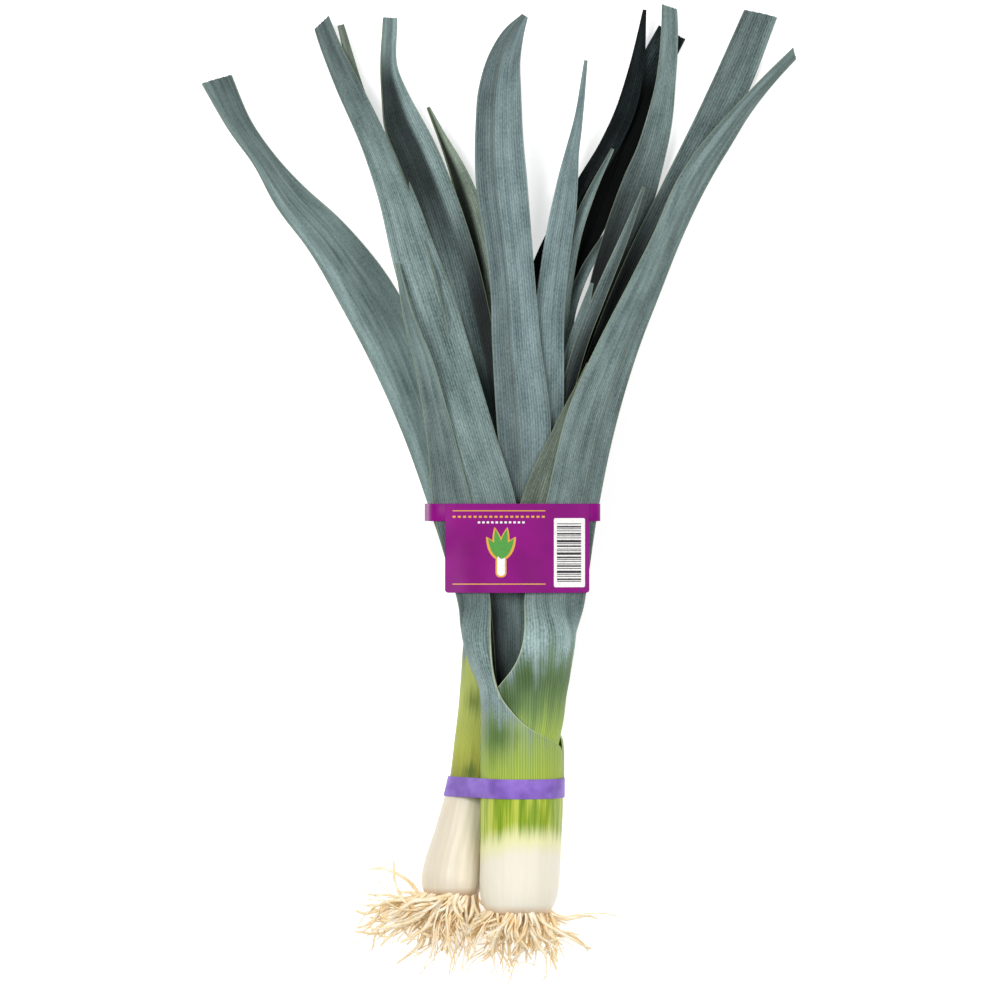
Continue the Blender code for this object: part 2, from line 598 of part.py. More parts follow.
def rubber_band():
    """A flat elastic band stretched round both shanks, over the lower ends of the outer sheaths."""
    loops = []
    for y in BAND_Y:
        circles = []
        for axis, radius in ((BACK_AXIS, BACK_SHEATH_RADIUS), (FRONT_AXIS, FRONT_SHEATH_RADIUS)):
            x, _, z = axis_xyz(axis, y)
            circles.append((x, z, radius + GAP))
        loops.append([(x, y, z) for x, z in taut_round(circles, BAND_POINTS)])
    closed_strip("rubber_band", loops, BAND_THICKNESS, material("rubber", "rubber", 0.45))


def hull(points):
    """Convex outline of (x, z) points, turning from +X over +Z."""
    ordered = sorted(map(tuple, points))

    def chain(seq):
        line = []
        for p in seq:
            while len(line) > 1 and ((line[-1][0] - line[-2][0]) * (p[1] - line[-2][1])
                                     <= (line[-1][1] - line[-2][1]) * (p[0] - line[-2][0])):
                line.pop()
            line.append(p)
        return line[:-1]

    return np.array(chain(ordered) + chain(ordered[::-1]))


def tag_loop(samples):
    """The strap's line round the pile: its convex outline, rounded off and pushed clear."""
    outline = hull(np.concatenate([samples[:, [0, 2]], samples[:, [0, 3]]]))
    closed = np.vstack([outline, outline[:1]])
    length = np.r_[0, np.cumsum(np.hypot(*np.diff(closed, axis=0).T))]
    at = np.linspace(0, length[-1], TAG_POINTS, endpoint=False)
    loop = np.stack([np.interp(at, length, closed[:, 0]), np.interp(at, length, closed[:, 1])], axis=1)
    for _ in range(3):
        loop = 0.25 * np.roll(loop, 1, axis=0) + 0.5 * loop + 0.25 * np.roll(loop, -1, axis=0)
    ahead = np.roll(loop, -1, axis=0) - np.roll(loop, 1, axis=0)
    outward = np.stack([ahead[:, 1], -ahead[:, 0]], axis=1)
    outward /= np.linalg.norm(outward, axis=1)[:, None]
    edge = np.roll(loop, -1, axis=0) - loop
    side = np.stack([edge[:, 1], -edge[:, 0]], axis=1)
    side /= np.linalg.norm(side, axis=1)[:, None]
    beyond = ((outline[:, None] - loop[None]) * side[None]).sum(axis=2).max()
    return loop + outward * (max(0.0, beyond) + LEAF_THICKNESS / 2 + GAP)


def with_corners(loop, left, right):
    """The loop with a point where each side edge of the panel leaves it, on the upper side."""
    ring, middle_z = [], loop[:, 1].mean()
    for p, q in zip(loop, np.roll(loop, -1, axis=0)):
        ring.append(p)
        for x in (right, left):
            if (p[0] - x) * (q[0] - x) < 0 and min(p[1], q[1]) > middle_z:
                ring.append(p + (q - p) * (x - p[0]) / (q[0] - p[0]))
    ring = np.array(ring)
    on_panel = (ring[:, 0] >= left - 1e-6) & (ring[:, 0] <= right + 1e-6) & (ring[:, 1] > middle_z)
    return ring, ring[on_panel]


def tag(pile):
    """A printed strap that closes on itself, with a panel that hangs from it over the leaves."""
    mat = material("tag_plastic", "tag", 0.35)
    loop = tag_loop(pile.samples(TAG_STRAP_Y[0] - TAG_REACH, TAG_STRAP_Y[1] + 2))
    loop[:, 1] = np.maximum(loop[:, 1], TAG_THICKNESS + 0.02)
    ring, top = with_corners(loop, *TAG_PANEL_X)
    build_tag(ring, top, panel_edge(pile, top), mat)


def panel_edge(pile, top):
    """Heights of the panel's lower edge, so that a sheet from the strap to it clears the leaves."""
    found = pile.samples(TAG_PANEL_Y - 2, TAG_STRAP_Y[0] - TAG_REACH / 2)
    order = np.argsort(top[:, 0])
    share = np.clip((TAG_STRAP_Y[0] - found[:, 1]) / (TAG_STRAP_Y[0] - TAG_PANEL_Y), 0.0, 1.0)
    strap = np.interp(found[:, 0], top[order, 0], top[order, 1])
    wanted = (found[:, 3] + GAP - strap * (1 - share)) / share
    inside = (found[:, 0] > TAG_PANEL_X[0] - 3) & (found[:, 0] < TAG_PANEL_X[1] + 3)
    spots = np.stack([found[inside, 0], wanted[inside]], axis=1)
    deep = spots[:, 1].min() - 50
    ends = np.array([[spots[:, 0].min() - 0.1, deep], [spots[:, 0].max() + 0.1, deep]])
    outline = hull(np.vstack([spots, ends]))
    crown = outline[outline[:, 1] > deep + 1]
    crown = crown[np.argsort(crown[:, 0])]
    return np.interp(top[:, 0], crown[:, 0], crown[:, 1]) + PANEL_ROOM


def build_tag(ring, top, low_z, mat):
    """The strap with its panel fused to it."""
    strap = [[(x, y, z) for x, z in ring] for y in (TAG_STRAP_Y[1], TAG_STRAP_Y[0])]
    band = closed_strip("label_band", strap, TAG_THICKNESS, mat)
    rows = []
    start_y = TAG_STRAP_Y[0] + PANEL_LAP
    for t in np.linspace(0, 1, TAG_ROWS + 1):
        y = start_y + t * (TAG_PANEL_Y - start_y)
        rows.append([(x, y, a + (b - a) * t) for (x, a), b in zip(top, low_z)])
    rows = np.array(rows)
    lifted = rows + np.array([0, 0, TAG_THICKNESS])
    count, columns = rows.shape[:2]
    total = count * columns
    points = np.concatenate([lifted.reshape(-1, 3), rows.reshape(-1, 3)])
    faces = grid_faces(count, columns) + grid_faces(count, columns, start=total, flip=True)
    faces += rim_faces(count, columns)
    panel = add_object("label_panel", points.tolist(), faces, mat)
    face_outwards(panel)
    join = band.modifiers.new("fuse", "BOOLEAN")
    join.operation = "UNION"
    join.object = panel
    with bpy.context.temp_override(object=band, active_object=band):
        bpy.ops.object.modifier_apply(modifier=join.name)
    bpy.data.objects.remove(panel, do_unlink=True)


def main():
    clear_scene()
    white = material("shank_white", "white_shank", 0.35)
    shank("back_shank", BACK_SHANK + core_rings(BACK_AXIS, BACK_CORE_RADIUS), white)
    shank("front_shank", FRONT_SHANK + core_rings(FRONT_AXIS, FRONT_CORE_RADIUS), white)
    pile = Pile()
    leaves(pile)
    cream = material("root_cream", "root", 0.7)
    for side, (name, tuft) in zip((-1, 1), ROOT_TUFTS.items()):
        root_tuft(name, tuft, side, cream)
    rubber_band()
    tag(pile)


main()
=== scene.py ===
import json
import math
import random

import bpy
import numpy as np
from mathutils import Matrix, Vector
from mathutils.bvhtree import BVHTree
from mathutils.geometry import convex_hull_2d

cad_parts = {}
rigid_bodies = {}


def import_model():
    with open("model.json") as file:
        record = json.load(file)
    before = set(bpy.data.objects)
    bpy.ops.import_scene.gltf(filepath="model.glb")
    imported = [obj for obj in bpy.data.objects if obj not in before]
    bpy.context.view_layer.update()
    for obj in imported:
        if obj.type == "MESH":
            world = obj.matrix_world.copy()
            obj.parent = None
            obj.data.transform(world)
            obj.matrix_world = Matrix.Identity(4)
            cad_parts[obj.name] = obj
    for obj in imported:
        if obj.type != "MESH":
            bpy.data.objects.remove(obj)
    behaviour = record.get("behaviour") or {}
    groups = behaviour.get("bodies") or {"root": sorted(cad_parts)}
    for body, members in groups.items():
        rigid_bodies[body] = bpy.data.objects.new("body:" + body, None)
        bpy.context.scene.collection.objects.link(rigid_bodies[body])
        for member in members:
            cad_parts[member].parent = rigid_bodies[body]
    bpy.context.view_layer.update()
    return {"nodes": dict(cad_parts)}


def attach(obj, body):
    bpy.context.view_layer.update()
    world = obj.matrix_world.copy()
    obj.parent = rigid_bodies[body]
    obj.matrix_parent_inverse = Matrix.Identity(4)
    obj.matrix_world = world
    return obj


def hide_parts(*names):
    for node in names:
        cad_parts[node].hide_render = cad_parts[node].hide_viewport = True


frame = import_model()
MM = 0.001


# The table and the studio
# The bunch lies on a light table of white acrylic, which glows a little and so keeps its shadows
# faint. Large soft lights hang over it, the stronger one at the left, and the camera looks straight
# down from high up on a long lens, so that the fan of leaves is seen flat.
def srgb(code):
    """A colour written as sRGB hex, as linear RGBA."""
    channels = [int(code[i:i + 2], 16) / 255 for i in (1, 3, 5)]
    return tuple(c / 12.92 if c <= 0.04045 else ((c + 0.055) / 1.055) ** 2.4 for c in channels) + (1.0,)


def new_material(name, **shader_values):
    """A Principled material with its constant values set on the shader's own sockets."""
    mat = bpy.data.materials.new(name)
    mat.use_nodes = True
    shader = mat.node_tree.nodes["Principled BSDF"]
    for key, value in shader_values.items():
        shader.inputs[key.replace("_", " ")].default_value = value
    return mat, mat.node_tree, shader


TABLE_SIZE = 6.0
TABLE_GAP = 0.0002  # m by which it lies under the part, so that the two faces don't flicker
TABLE_COLOUR = "#E6E6E5"
TABLE_GLOW = 0.6
CAMERA_LENS = 250.0
SENSOR = 36.0
VIEW_WIDTH = 0.500
FOCUS_HEIGHT = 0.022
KEY_LIGHT = dict(place=(-0.75, 0.35, 1.9), size=0.8, power=27.0)
FILL_LIGHT = dict(place=(1.0, 0.0, 1.8), size=1.0, power=18.0)
AIR = dict(Color=srgb("#F4F7FA"), Strength=0.22)

# Sanded white acrylic: flat white with hardly a reflection, lit a little from inside.
bpy.ops.object.select_all(action="DESELECT")
bpy.ops.mesh.primitive_plane_add(size=TABLE_SIZE, location=(0, 0, -TABLE_GAP))
table = bpy.context.object
table.name = "table"
mat, tree, shader = new_material(
    "light_table_acrylic", Base_Color=srgb(TABLE_COLOUR), Roughness=0.9, Specular_IOR_Level=0.1,
    Emission_Color=(1, 1, 1, 1), Emission_Strength=TABLE_GLOW)
table.data.materials.append(mat)

for light_name, light in (("key", KEY_LIGHT), ("fill", FILL_LIGHT)):
    data = bpy.data.lights.new(light_name, "AREA")
    data.size = light["size"]
    data.energy = light["power"]
    lamp = bpy.data.objects.new(light_name, data)
    lamp.location = light["place"]
    lamp.rotation_euler = (-Vector(light["place"])).to_track_quat("-Z", "Y").to_euler()
    bpy.context.scene.collection.objects.link(lamp)

world = bpy.data.worlds.new("studio_air")
bpy.context.scene.world = world
world.use_nodes = True
for key, value in AIR.items():
    world.node_tree.nodes["Background"].inputs[key].default_value = value
bpy.context.scene.view_settings.view_transform = "Standard"

camera = bpy.data.objects.new("camera", bpy.data.cameras.new("camera"))
camera.data.lens = CAMERA_LENS
camera.data.sensor_width = SENSOR
camera.location = (0, 0, FOCUS_HEIGHT + VIEW_WIDTH * CAMERA_LENS / SENSOR)
camera.data.clip_end = 20.0
bpy.context.scene.collection.objects.link(camera)
bpy.context.scene.camera = camera


# Leaf blades
# Long flat leaves with a fold along the middle, fine parallel veins and a waxy grey-green bloom.
# They grow one inside another from the shank, and most are trimmed off square near the tip.
BLADE_THICKNESS = 0.8
CAD_HALF_THICKNESS = 0.6
ROW_STEP = 2.5
BLADE_COLUMNS = 24
NECK_Y = -95.0  # the blades lie flat on each other here and reach their full fold at the next place
FOLD_FULL_Y = 30.0
FOLD_ROUND = 0.8  # mm over which a fold is rounded
HEIGHTS_EASED = 7.0  # mm along the leaf over which the solid's heights are evened out
WAVE_LENGTHS = (38.0, 70.0)
WAVE_HEIGHT = 0.25
END_REACH = 12.0  # the last mm of a leaf, which carry the slant of its trimmed end
RAGGED = (0.14, 0.08)  # coarse and fine unevenness of a trimmed end
KEEL_SOFT = 1.6  # mm beside the keel in which one side's tone passes into the other's
TIP_REACH, TIP_FADE = 34.0, 22.0  # where before the end a tip's own tone starts, and how soon it is full
HIDDEN_RIB = 1.6  # mm by which a leaf without a marked rib is moved off its colour
NECK_SINK = 9.0  # how far the front leek's inner leaves lie below the mouth of the outer sheaths
SUNK_Y, LEVEL_Y = -42.0, -10.0
THROAT_SHADE_Y = (-22.0, -60.0)  # painted shade: the sunk inner leaves are drawn darker over this stretch, where the outer sheaths overhang them
THROAT_SHADE_DEPTH = 30.0

# Each path holds x, y and the width across the blade in mm from the neck to the tip. "fold" is
# where the keel lies across the blade and how steeply each side falls from it, and "cut" is how
# far the right corner of the trimmed end reaches past the left one. "tone" is a factor on the colour
# left and right of the keel that paints in shade and light, as they fall on each side of the fold and in
# the gaps between leaves, with "low_tone" and "tip_tone" for its lower part and its tip. "ends" is the
# same painted shade and light at the neck and at the tip, "shade" where along Y the lower part passes
# into the upper one, and "rib" how marked the brown line along the keel is.
BLADES = {
    "back_leaf_dark_wide": dict(
        path=[(10, -95, 9), (14, -50, 13), (17.5, 0, 13), (23, 50, 12), (33.4, 107.5, 11),
              (51.5, 152.5, 15.5), (60, 175, 15.5), (78, 219, 15.5), (86.5, 235, 15)],
        fold=(0.5, -0.3, -0.3), look="dusky_shaded", seed=1, tone=(0.06, 0.08), tip_tone=(1.6, 1.6),
        ends=(1.0, 1.0)),
    "back_leaf_dark_curled": dict(
        path=[(4, -95, 9), (7, -50, 12), (9, 0, 12), (10, 50, 11), (14, 95, 10), (22.5, 121, 9.5),
              (44, 160, 9.5), (54.5, 177.5, 9.5), (63, 196, 9.5), (68, 215, 7.5), (72.5, 246, 1.6)],
        fold=(0.6, 0.2, 0.9), look="dusky_shaded", seed=2, tone=(0.5, 0.9)),
    "back_leaf_split": dict(
        path=[(-1, -95, 10), (1.5, -50, 15), (2.5, 0, 16), (0, 50, 17), (-5, 95, 16),
              (-9.5, 125, 14), (-15, 147.5, 11.5), (-21, 164.5, 8.5), (-28.5, 181, 4.5), (-36, 197, 1.6)],
        fold=(0.5, -0.7, -0.35), look="green", seed=3, tone=(0.12, 1.45)),
    "back_leaf_hidden": dict(
        path=[(7.5, -95, 8), (14, -30, 8), (24, 30, 9), (31, 70, 8.5), (35.6, 97, 6.2),
              (43.2, 116, 5), (53.2, 132, 4), (61, 144, 1.6)],
        fold=(0.5, 0.2, 0.2), seed=4, tone=(0.3, 1.1), ends=(0.4, 0.9)),
    "back_leaf_straight": dict(
        path=[(11, -95, 9), (20, -50, 13), (26.5, 0, 14), (43, 65, 14), (57, 119, 18.2),
              (64, 140, 19), (70.5, 159, 18), (76, 175, 15), (80, 191, 13), (82.5, 205, 10.5),
              (85, 235, 8.5), (85, 247.5, 7.5)],
        fold=(0.4, 0.1, 0.25), cut=-2.5, seed=5, tone=(0.9, 1.0), ends=(0.04, 1.05),
        shade=(114, 212)),
    "back_leaf_sliver": dict(
        path=[(-5, -95, 9), (-8, -50, 11), (-13, 0, 13), (-22.5, 50, 14), (-37.5, 100, 13),
              (-50, 142.5, 11), (-61, 175, 8.5), (-71, 205, 6), (-80, 238.5, 3.5)],
        fold=(0.5, 0.15, 0.15), look="green", seed=6, ends=(0.5, 0.8)),
    "back_leaf_gutter": dict(
        path=[(1, -95, 10), (4, -50, 16), (2.5, -10, 19), (-8, 50, 22), (-15, 85, 23),
              (-22.5, 117.5, 23), (-32.5, 150, 22), (-41.5, 173, 21), (-48.7, 189, 19),
              (-52.5, 202, 13.5), (-55.3, 214.5, 9), (-55, 241.5, 7)],
        fold=(0.66, -0.6, -0.3), seed=7, tone=(0.17, 1.15), low_tone=(0.8, 0.1),
        tip_tone=(0.9, 1.0), ends=(0.9, 1.2), shade=(95, 165)),
    "back_leaf_thin": dict(
        path=[(10, -95, 7), (15, -40, 8), (22.5, 25, 9), (28, 75, 9.5), (32.5, 110, 8.5),
              (38.5, 136, 6.5), (45, 152.5, 4.5), (56.5, 176, 1.6)],
        fold=(0.5, 0.2, 0.2), seed=8, tone=(0.5, 1.1), ends=(0.4, 0.9)),
    "front_leaf_folded": dict(
        path=[(18, -94, 12), (25, -50, 16), (32.5, 0, 17), (48.5, 60, 17.5), (70, 114, 18.5),
              (89.5, 154, 18.5), (109, 193.5, 18.5), (118, 213, 18.5), (131, 244.5, 16.5)],
        fold=(0.55, 0.25, 0.6), cut=3, seed=9, tone=(0.72, 1.0), ends=(0.08, 0.9),
        shade=(112, 185)),
    "front_leaf_spike": dict(
        path=[(15, -94, 6), (24, -30, 6.5), (29, 25, 7.5), (33, 55, 8), (35, 68.5, 7.5),
              (38, 80.5, 7), (41, 91, 5.5), (46, 108.5, 1.6)],
        fold=(0.5, 0.2, 0.2), seed=10, tone=(0.95, 1.05), ends=(0.8, 1.1)),
    "front_leaf_narrow": dict(
        path=[(14, -94, 7), (21, -40, 7), (28, 15, 7), (34.5, 57.5, 6.5), (40, 76.5, 6.5),
              (51.5, 106, 6), (63.5, 134.5, 4), (72, 156.5, 1.6)],
        fold=(0.5, 0.2, 0.2), seed=11, tone=(0.75, 0.4), ends=(0.15, 1.1),
        shade=(50, 125)),
    "front_leaf_blade": dict(
        path=[(13, -94, 11), (16, -45, 13), (20, 0, 15), (23.5, 44, 16), (25, 95, 14.5),
              (29, 128, 13.5), (32, 146, 12.5), (34, 160.5, 10), (36, 173.5, 7), (38.5, 186, 5),
              (43, 220, 1.6)],
        fold=(0.35, 0.3, 0.15), look="bluish", seed=12, tone=(1.15, 1.0), ends=(0.64, 0.95)),
    "front_leaf_centre": dict(
        path=[(10, -94, 15), (10, -45, 18), (13, 0, 22), (12, 35, 26.5), (8, 80, 24),
              (6.5, 105, 22.5), (4, 130, 23.5), (1, 156, 25.5), (-0.5, 186, 23.5), (0, 205.5, 21),
              (2, 219.5, 16.5), (6.5, 232, 11), (12.5, 242, 3.5)],
        fold=(0.37, -0.22, -0.22), look="bluish", seed=13, tone=(0.76, 1.1), ends=(0.6, 0.8),
        rib=0.85),
    "front_leaf_short": dict(
        path=[(10, -94, 10), (11, -45, 13), (16.5, -5, 14), (22.5, 14, 12), (28, 29, 8.5),
              (33.5, 44, 5), (39, 57, 2.5), (44, 68, 1.6)],
        fold=(0.5, 0.2, 0.2), look="green", seed=14, tone=(0.72, 0.95)),
    "front_leaf_broad": dict(
        path=[(5, -94, 13), (3.5, -46.5, 18), (-3.5, 0, 21.5), (-12.5, 28.5, 22), (-28, 76.5, 24.5),
              (-35.5, 100, 25), (-42.5, 121, 22.5), (-51.5, 150.5, 18), (-62, 177, 14),
              (-77.5, 210.5, 12), (-85, 227.5, 10), (-89.5, 239.5, 9)],
        fold=(0.45, 0.12, 0.3), cut=4, seed=15, tone=(1.2, 1.1), ends=(0.8, 0.55)),
}
SHADE = (-20.0, 90.0)
ENDS = (0.86, 1.0)


def eased(t):
    """A smooth step from 0 to 1."""
    t = np.clip(t, 0, 1)
    return t * t * (3 - 2 * t)


def curve_between(t, start, end, leaving, arriving):
    """A smooth curve between two values, with its slopes at both."""
    return ((2 * t**3 - 3 * t**2 + 1) * start + (t**3 - 2 * t**2 + t) * leaving
            + (3 * t**2 - 2 * t**3) * end + (t**3 - t**2) * arriving)


def smooth_line(path, step):
    """Evenly spaced rows on a smooth curve through stations, and their distances along it."""
    stations = np.array(path, float)
    chord = np.r_[0, np.cumsum(np.hypot(*np.diff(stations[:, :2], axis=0).T))]
    slopes = np.gradient(stations, chord, axis=0)
    fine = np.linspace(0, chord[-1], round(chord[-1] / step) + 1)
    k = np.clip(np.searchsorted(chord, fine, side="right") - 1, 0, len(chord) - 2)
    span = (chord[k + 1] - chord[k])[:, None]
    t = (fine - chord[k])[:, None] / span
    return curve_between(t, stations[k], stations[k + 1], span * slopes[k], span * slopes[k + 1]), fine


def softened(values, along, reach):
    """Values smoothed over a distance along the leaf."""
    weight = np.exp(-((along[:, None] - along[None]) / reach) ** 2)
    weight /= weight.sum(axis=1, keepdims=True)
    return np.tensordot(weight, values, axes=1)


def heights_on(node_name, xy, along):
    """Height of the leaf's mid surface under each point, read from its solid in the frame."""
    mesh = frame["nodes"][node_name].data
    tree = BVHTree.FromPolygons([v.co for v in mesh.vertices], [p.vertices for p in mesh.polygons])
    found = []
    for x, y in xy:
        hit = tree.ray_cast(Vector((x * MM, y * MM, 1.0)), Vector((0, 0, -1)))[0]
        found.append(np.nan if hit is None else hit.z / MM - CAD_HALF_THICKNESS)
    found = np.array(found)
    good = ~np.isnan(found)
    return softened(np.interp(along, along[good], found[good]), along, HEIGHTS_EASED)


def blade_tone(leaf, y, along, u, aside, sunk):
    """Painted shade and light over a blade, as a factor on its colour: by side of the keel, from the neck up
    to the tip, and darker down in the throat of the sunk leaves.
    """
    start, full = leaf.get("shade", SHADE)
    low = 1 - eased((y - start) / (full - start))
    high = eased(((along / along[-1]) - 0.7) / 0.3)[:, None]
    at_tip = eased((along - along[-1] + TIP_REACH) / TIP_FADE)[:, None]
    sides = leaf.get("tone", (1.0, 1.0))
    left, right = (
        side + (low_side - side) * low + (tip_side - side) * at_tip for side, low_side, tip_side
        in zip(sides, leaf.get("low_tone", sides), leaf.get("tip_tone", sides)))
    neck_tone, end_tone = leaf.get("ends", ENDS)
    tone = left + (right - left) * eased(0.5 + aside / (2 * KEEL_SOFT))
    tone = tone * (1 + (neck_tone - 1) * low) * (1 + (end_tone - 1) * high)
    # Painted shade in the throat, where the outer sheaths overhang the sunk inner leaves: darkest at their
    # left margin and deeper down.
    if sunk:
        throat_shade = eased((THROAT_SHADE_Y[0] - y) / (THROAT_SHADE_Y[0] - THROAT_SHADE_Y[1]))
        deep_shade = eased((THROAT_SHADE_Y[1] - y) / THROAT_SHADE_DEPTH)
        tone = tone * (1 - throat_shade * (1.0 - 1.15 * u)) * (1 - 0.5 * deep_shade)
    return tone


def blade_surface(name, leaf, columns, sink=0.0):
    """Rows over a blade: x, y, z and the veins' place in mm, the tone of painted shade and light, and the
    distance to the keel.
    """
    line, along = smooth_line(leaf["path"], ROW_STEP)
    y, width = line[:, 1:2], line[:, 2:]
    heading = np.gradient(line[:, :2], axis=0)
    heading /= np.linalg.norm(heading, axis=1)[:, None]
    across = np.stack([heading[:, 1], -heading[:, 0]], axis=1)
    u = np.linspace(0, 1, columns + 1)
    keel, left_fall, right_fall = leaf["fold"]
    aside = (u - keel) * width
    opened = eased((y - NECK_Y) / (FOLD_FULL_Y - NECK_Y))
    z = heights_on(name, line[:, :2] + across * ((keel - 0.5) * width), along)[:, None]
    z = z - sink * eased((LEVEL_Y - y) / (LEVEL_Y - SUNK_Y))
    z = z - np.where(aside < 0, left_fall, right_fall) * opened * (
        np.sqrt(aside**2 + FOLD_ROUND**2) - FOLD_ROUND)
    rng = np.random.default_rng(leaf["seed"])
    phase, length = rng.uniform(0, 6.28, 4), rng.uniform(*WAVE_LENGTHS, 4)
    left_wave, right_wave = (
        (np.sin(along * 6.28 / length[s] + phase[s])
         + 0.5 * np.sin(along * 15 / length[s] + phase[s + 2]))[:, None] for s in (0, 1))
    wave = np.where(u < 0.5, left_wave, right_wave) * np.abs(2 * u - 1) ** 3
    z = z + WAVE_HEIGHT * wave * np.clip(width / 12, 0.2, 1) * opened
    ragged = RAGGED[0] * np.sin(u * 31 + phase[0]) + RAGGED[1] * np.sin(u * 67 + phase[1])
    end = np.clip((along - along[-1] + END_REACH) / END_REACH, 0, 1)[:, None] ** 2
    reach = (leaf.get("cut", 0) * (u - 0.5) + ragged * (line[-1, 2] > 3)) * end
    xy = line[:, None, :2] + ((u - 0.5) * width)[..., None] * across[:, None]
    xy = xy + reach[..., None] * heading[:, None]
    veins = np.broadcast_to(u * np.percentile(width, 85), aside.shape)
    tone = blade_tone(leaf, y, along, u, aside, sink > 0)
    keel_line = np.abs(aside) + HIDDEN_RIB * (1 - leaf.get("rib", 0.0))
    return np.stack([xy[..., 0], xy[..., 1], z, veins, tone, keel_line], axis=2), along


def vertex_places(mesh):
    """The places of a mesh's vertices."""
    flat = np.empty(len(mesh.vertices) * 3)
    mesh.vertices.foreach_get("co", flat)
    return flat.reshape(-1, 3)


def place_vertices(mesh, places):
    """Moves a mesh's vertices to places given in mm."""
    mesh.vertices.foreach_set("co", (places * MM).ravel())
    mesh.update()


def corner_vertices(mesh):
    """The vertex of each corner of the faces."""
    corners = np.empty(len(mesh.loops), int)
    mesh.loops.foreach_get("vertex_index", corners)
    return corners


def map_veins(mesh, across, along):
    """Turns the mesh's own map into one of the veins: mm across and along them at each corner."""
    mesh.uv_layers[0].name = "veins"
    mesh.uv_layers[0].data.foreach_set("uv", np.stack([across, along], axis=1).ravel())


def grid_over(rows):
    """A grid laid over rows of points in mm, with the row and the column of each vertex."""
    count, columns = rows.shape[:2]
    bpy.ops.object.select_all(action="DESELECT")
    bpy.ops.mesh.primitive_grid_add(x_subdivisions=columns - 1, y_subdivisions=count - 1, size=1.0)
    sheet = bpy.context.object
    flat = vertex_places(sheet.data) + 0.5
    column = np.rint(flat[:, 0] * (columns - 1)).astype(int)
    row = np.rint(flat[:, 1] * (count - 1)).astype(int)
    place_vertices(sheet.data, rows[row, column, :3])
    return sheet, row, column


def thicken(piece, thickness, offset, even=False):
    """Gives a sheet its thickness in mm: half to each side at offset 0, all outwards at 1."""
    wall = piece.modifiers.new("wall", "SOLIDIFY")
    wall.thickness = thickness * MM
    wall.offset = offset
    wall.use_even_offset = even
    bpy.ops.object.modifier_apply(modifier=wall.name)


def face_outwards(smooth_below=None):
    """Turns the active piece's faces outwards, and smooths its edges below an angle in degrees."""
    bpy.ops.object.mode_set(mode="EDIT")
    bpy.ops.mesh.select_all(action="SELECT")
    bpy.ops.mesh.normals_make_consistent(inside=False)
    bpy.ops.object.mode_set(mode="OBJECT")
    if smooth_below:
        bpy.ops.object.shade_smooth_by_angle(angle=math.radians(smooth_below))


def leaf_sheet(rows, along, thickness):
    """A leaf over rows of points, with its vein map, its tone of painted shade and light, and margins, then
    made thick.
    """
    sheet, row, column = grid_over(rows)
    widths = np.linalg.norm(np.diff(rows[..., :3], axis=1), axis=2).sum(axis=1)
    u = column / (rows.shape[1] - 1)
    values = dict(edge_mm=np.minimum(u, 1 - u) * widths[row], tone=rows[row, column, 4],
                  keel_mm=rows[row, column, 5])
    for label, value in values.items():
        attribute = sheet.data.attributes.new(label, "FLOAT", "POINT")
        attribute.data.foreach_set("value", value.astype(np.float32))
    corners = corner_vertices(sheet.data)
    map_veins(sheet.data, rows[row, column, 3][corners], along[row[corners]])
    thicken(sheet, thickness, 0.0, even=True)
    face_outwards(40)
    return sheet


# Wax over a green leaf: to the eye a soft grey-green with a low sheen, faint stripes along the veins
# and blotches where the wax is thicker or rubbed. The near-black look is the same leaf seen on its bare,
# darker inner side, made darker still with painted shade where it lies in shadow under the other leaves,
# and "green" is where the wax is thin. The veins are drawn 1.3 mm apart, coarser than the real ones, so
# that they show. All sizes are in mm.
LEAF_LOOKS = {
    "waxy": dict(dark="#455552", mid="#6F8280", light="#8FA2A0", margin="#8A9679", shine=0.15),
    "bluish": dict(dark="#4B5B5D", mid="#728586", light="#91A4A5", margin="#8C988C", shine=0.15),
    "green": dict(dark="#444F44", mid="#717E71", light="#939F8F", margin="#8F9C76", shine=0.15),
    # Near black: the bare inner side together with painted shade.
    "dusky_shaded": dict(dark="#0E1213", mid="#1B2223", light="#333D3D", margin="#2A3230", shine=0.05),
}
VEIN_SPACING = 1.3
VEIN_STRETCH = 0.03
STREAK = (3.2, 150.0)
BLOOM_PATCH = 8.0
GRAIN = 0.8
KEEL_LINES = ((0.7, 1.5, 0.7, "#3F463C"), (0.25, 0.6, 0.9, "#8C9082"))
MARGIN = (0.5, 0.55)  # how wide the pale edge of a leaf is, and how strong


def output_of(value):
    """A socket as it is, or the first output that a node has in use."""
    return next(o for o in value.outputs if o.enabled) if isinstance(value, bpy.types.Node) else value


def add_node(tree, kind, inputs=None, stops=None, **settings):
    """A shader node with its settings and its values, linked to the nodes and sockets among them."""
    made = tree.nodes.new("ShaderNode" + kind)
    for key, value in settings.items():
        setattr(made, key, value)
    for key, value in (inputs or {}).items():
        value = output_of(value)
        if isinstance(value, bpy.types.NodeSocket):
            tree.links.new(value, made.inputs[key])
        else:
            made.inputs[key].default_value = value
    if stops:
        ramp = made.color_ramp
        while len(ramp.elements) < len(stops):
            ramp.elements.new(0.5)
        for element, (position, code) in zip(ramp.elements, stops):
            element.position = position
            element.color = srgb(code)
    return made


def coat(tree, shader, colour, height, strength, distance):
    """Links the colour, and a low relief from a height in metres, to the shader."""
    tree.links.new(output_of(colour), shader.inputs["Base Color"])
    bump = add_node(tree, "Bump", {"Height": height, "Strength": strength, "Distance": distance})
    tree.links.new(bump.outputs["Normal"], shader.inputs["Normal"])


def drawn_noise(tree, uv, across_mm, along_mm, detail):
    """Noise drawn out along the leaf, its feature size given in mm."""
    place = add_node(tree, "Mapping", {"Vector": uv, "Scale": (1 / across_mm, 1 / along_mm, 1)})
    return add_node(tree, "TexNoise", {"Vector": place, "Scale": 1.0, "Detail": detail})


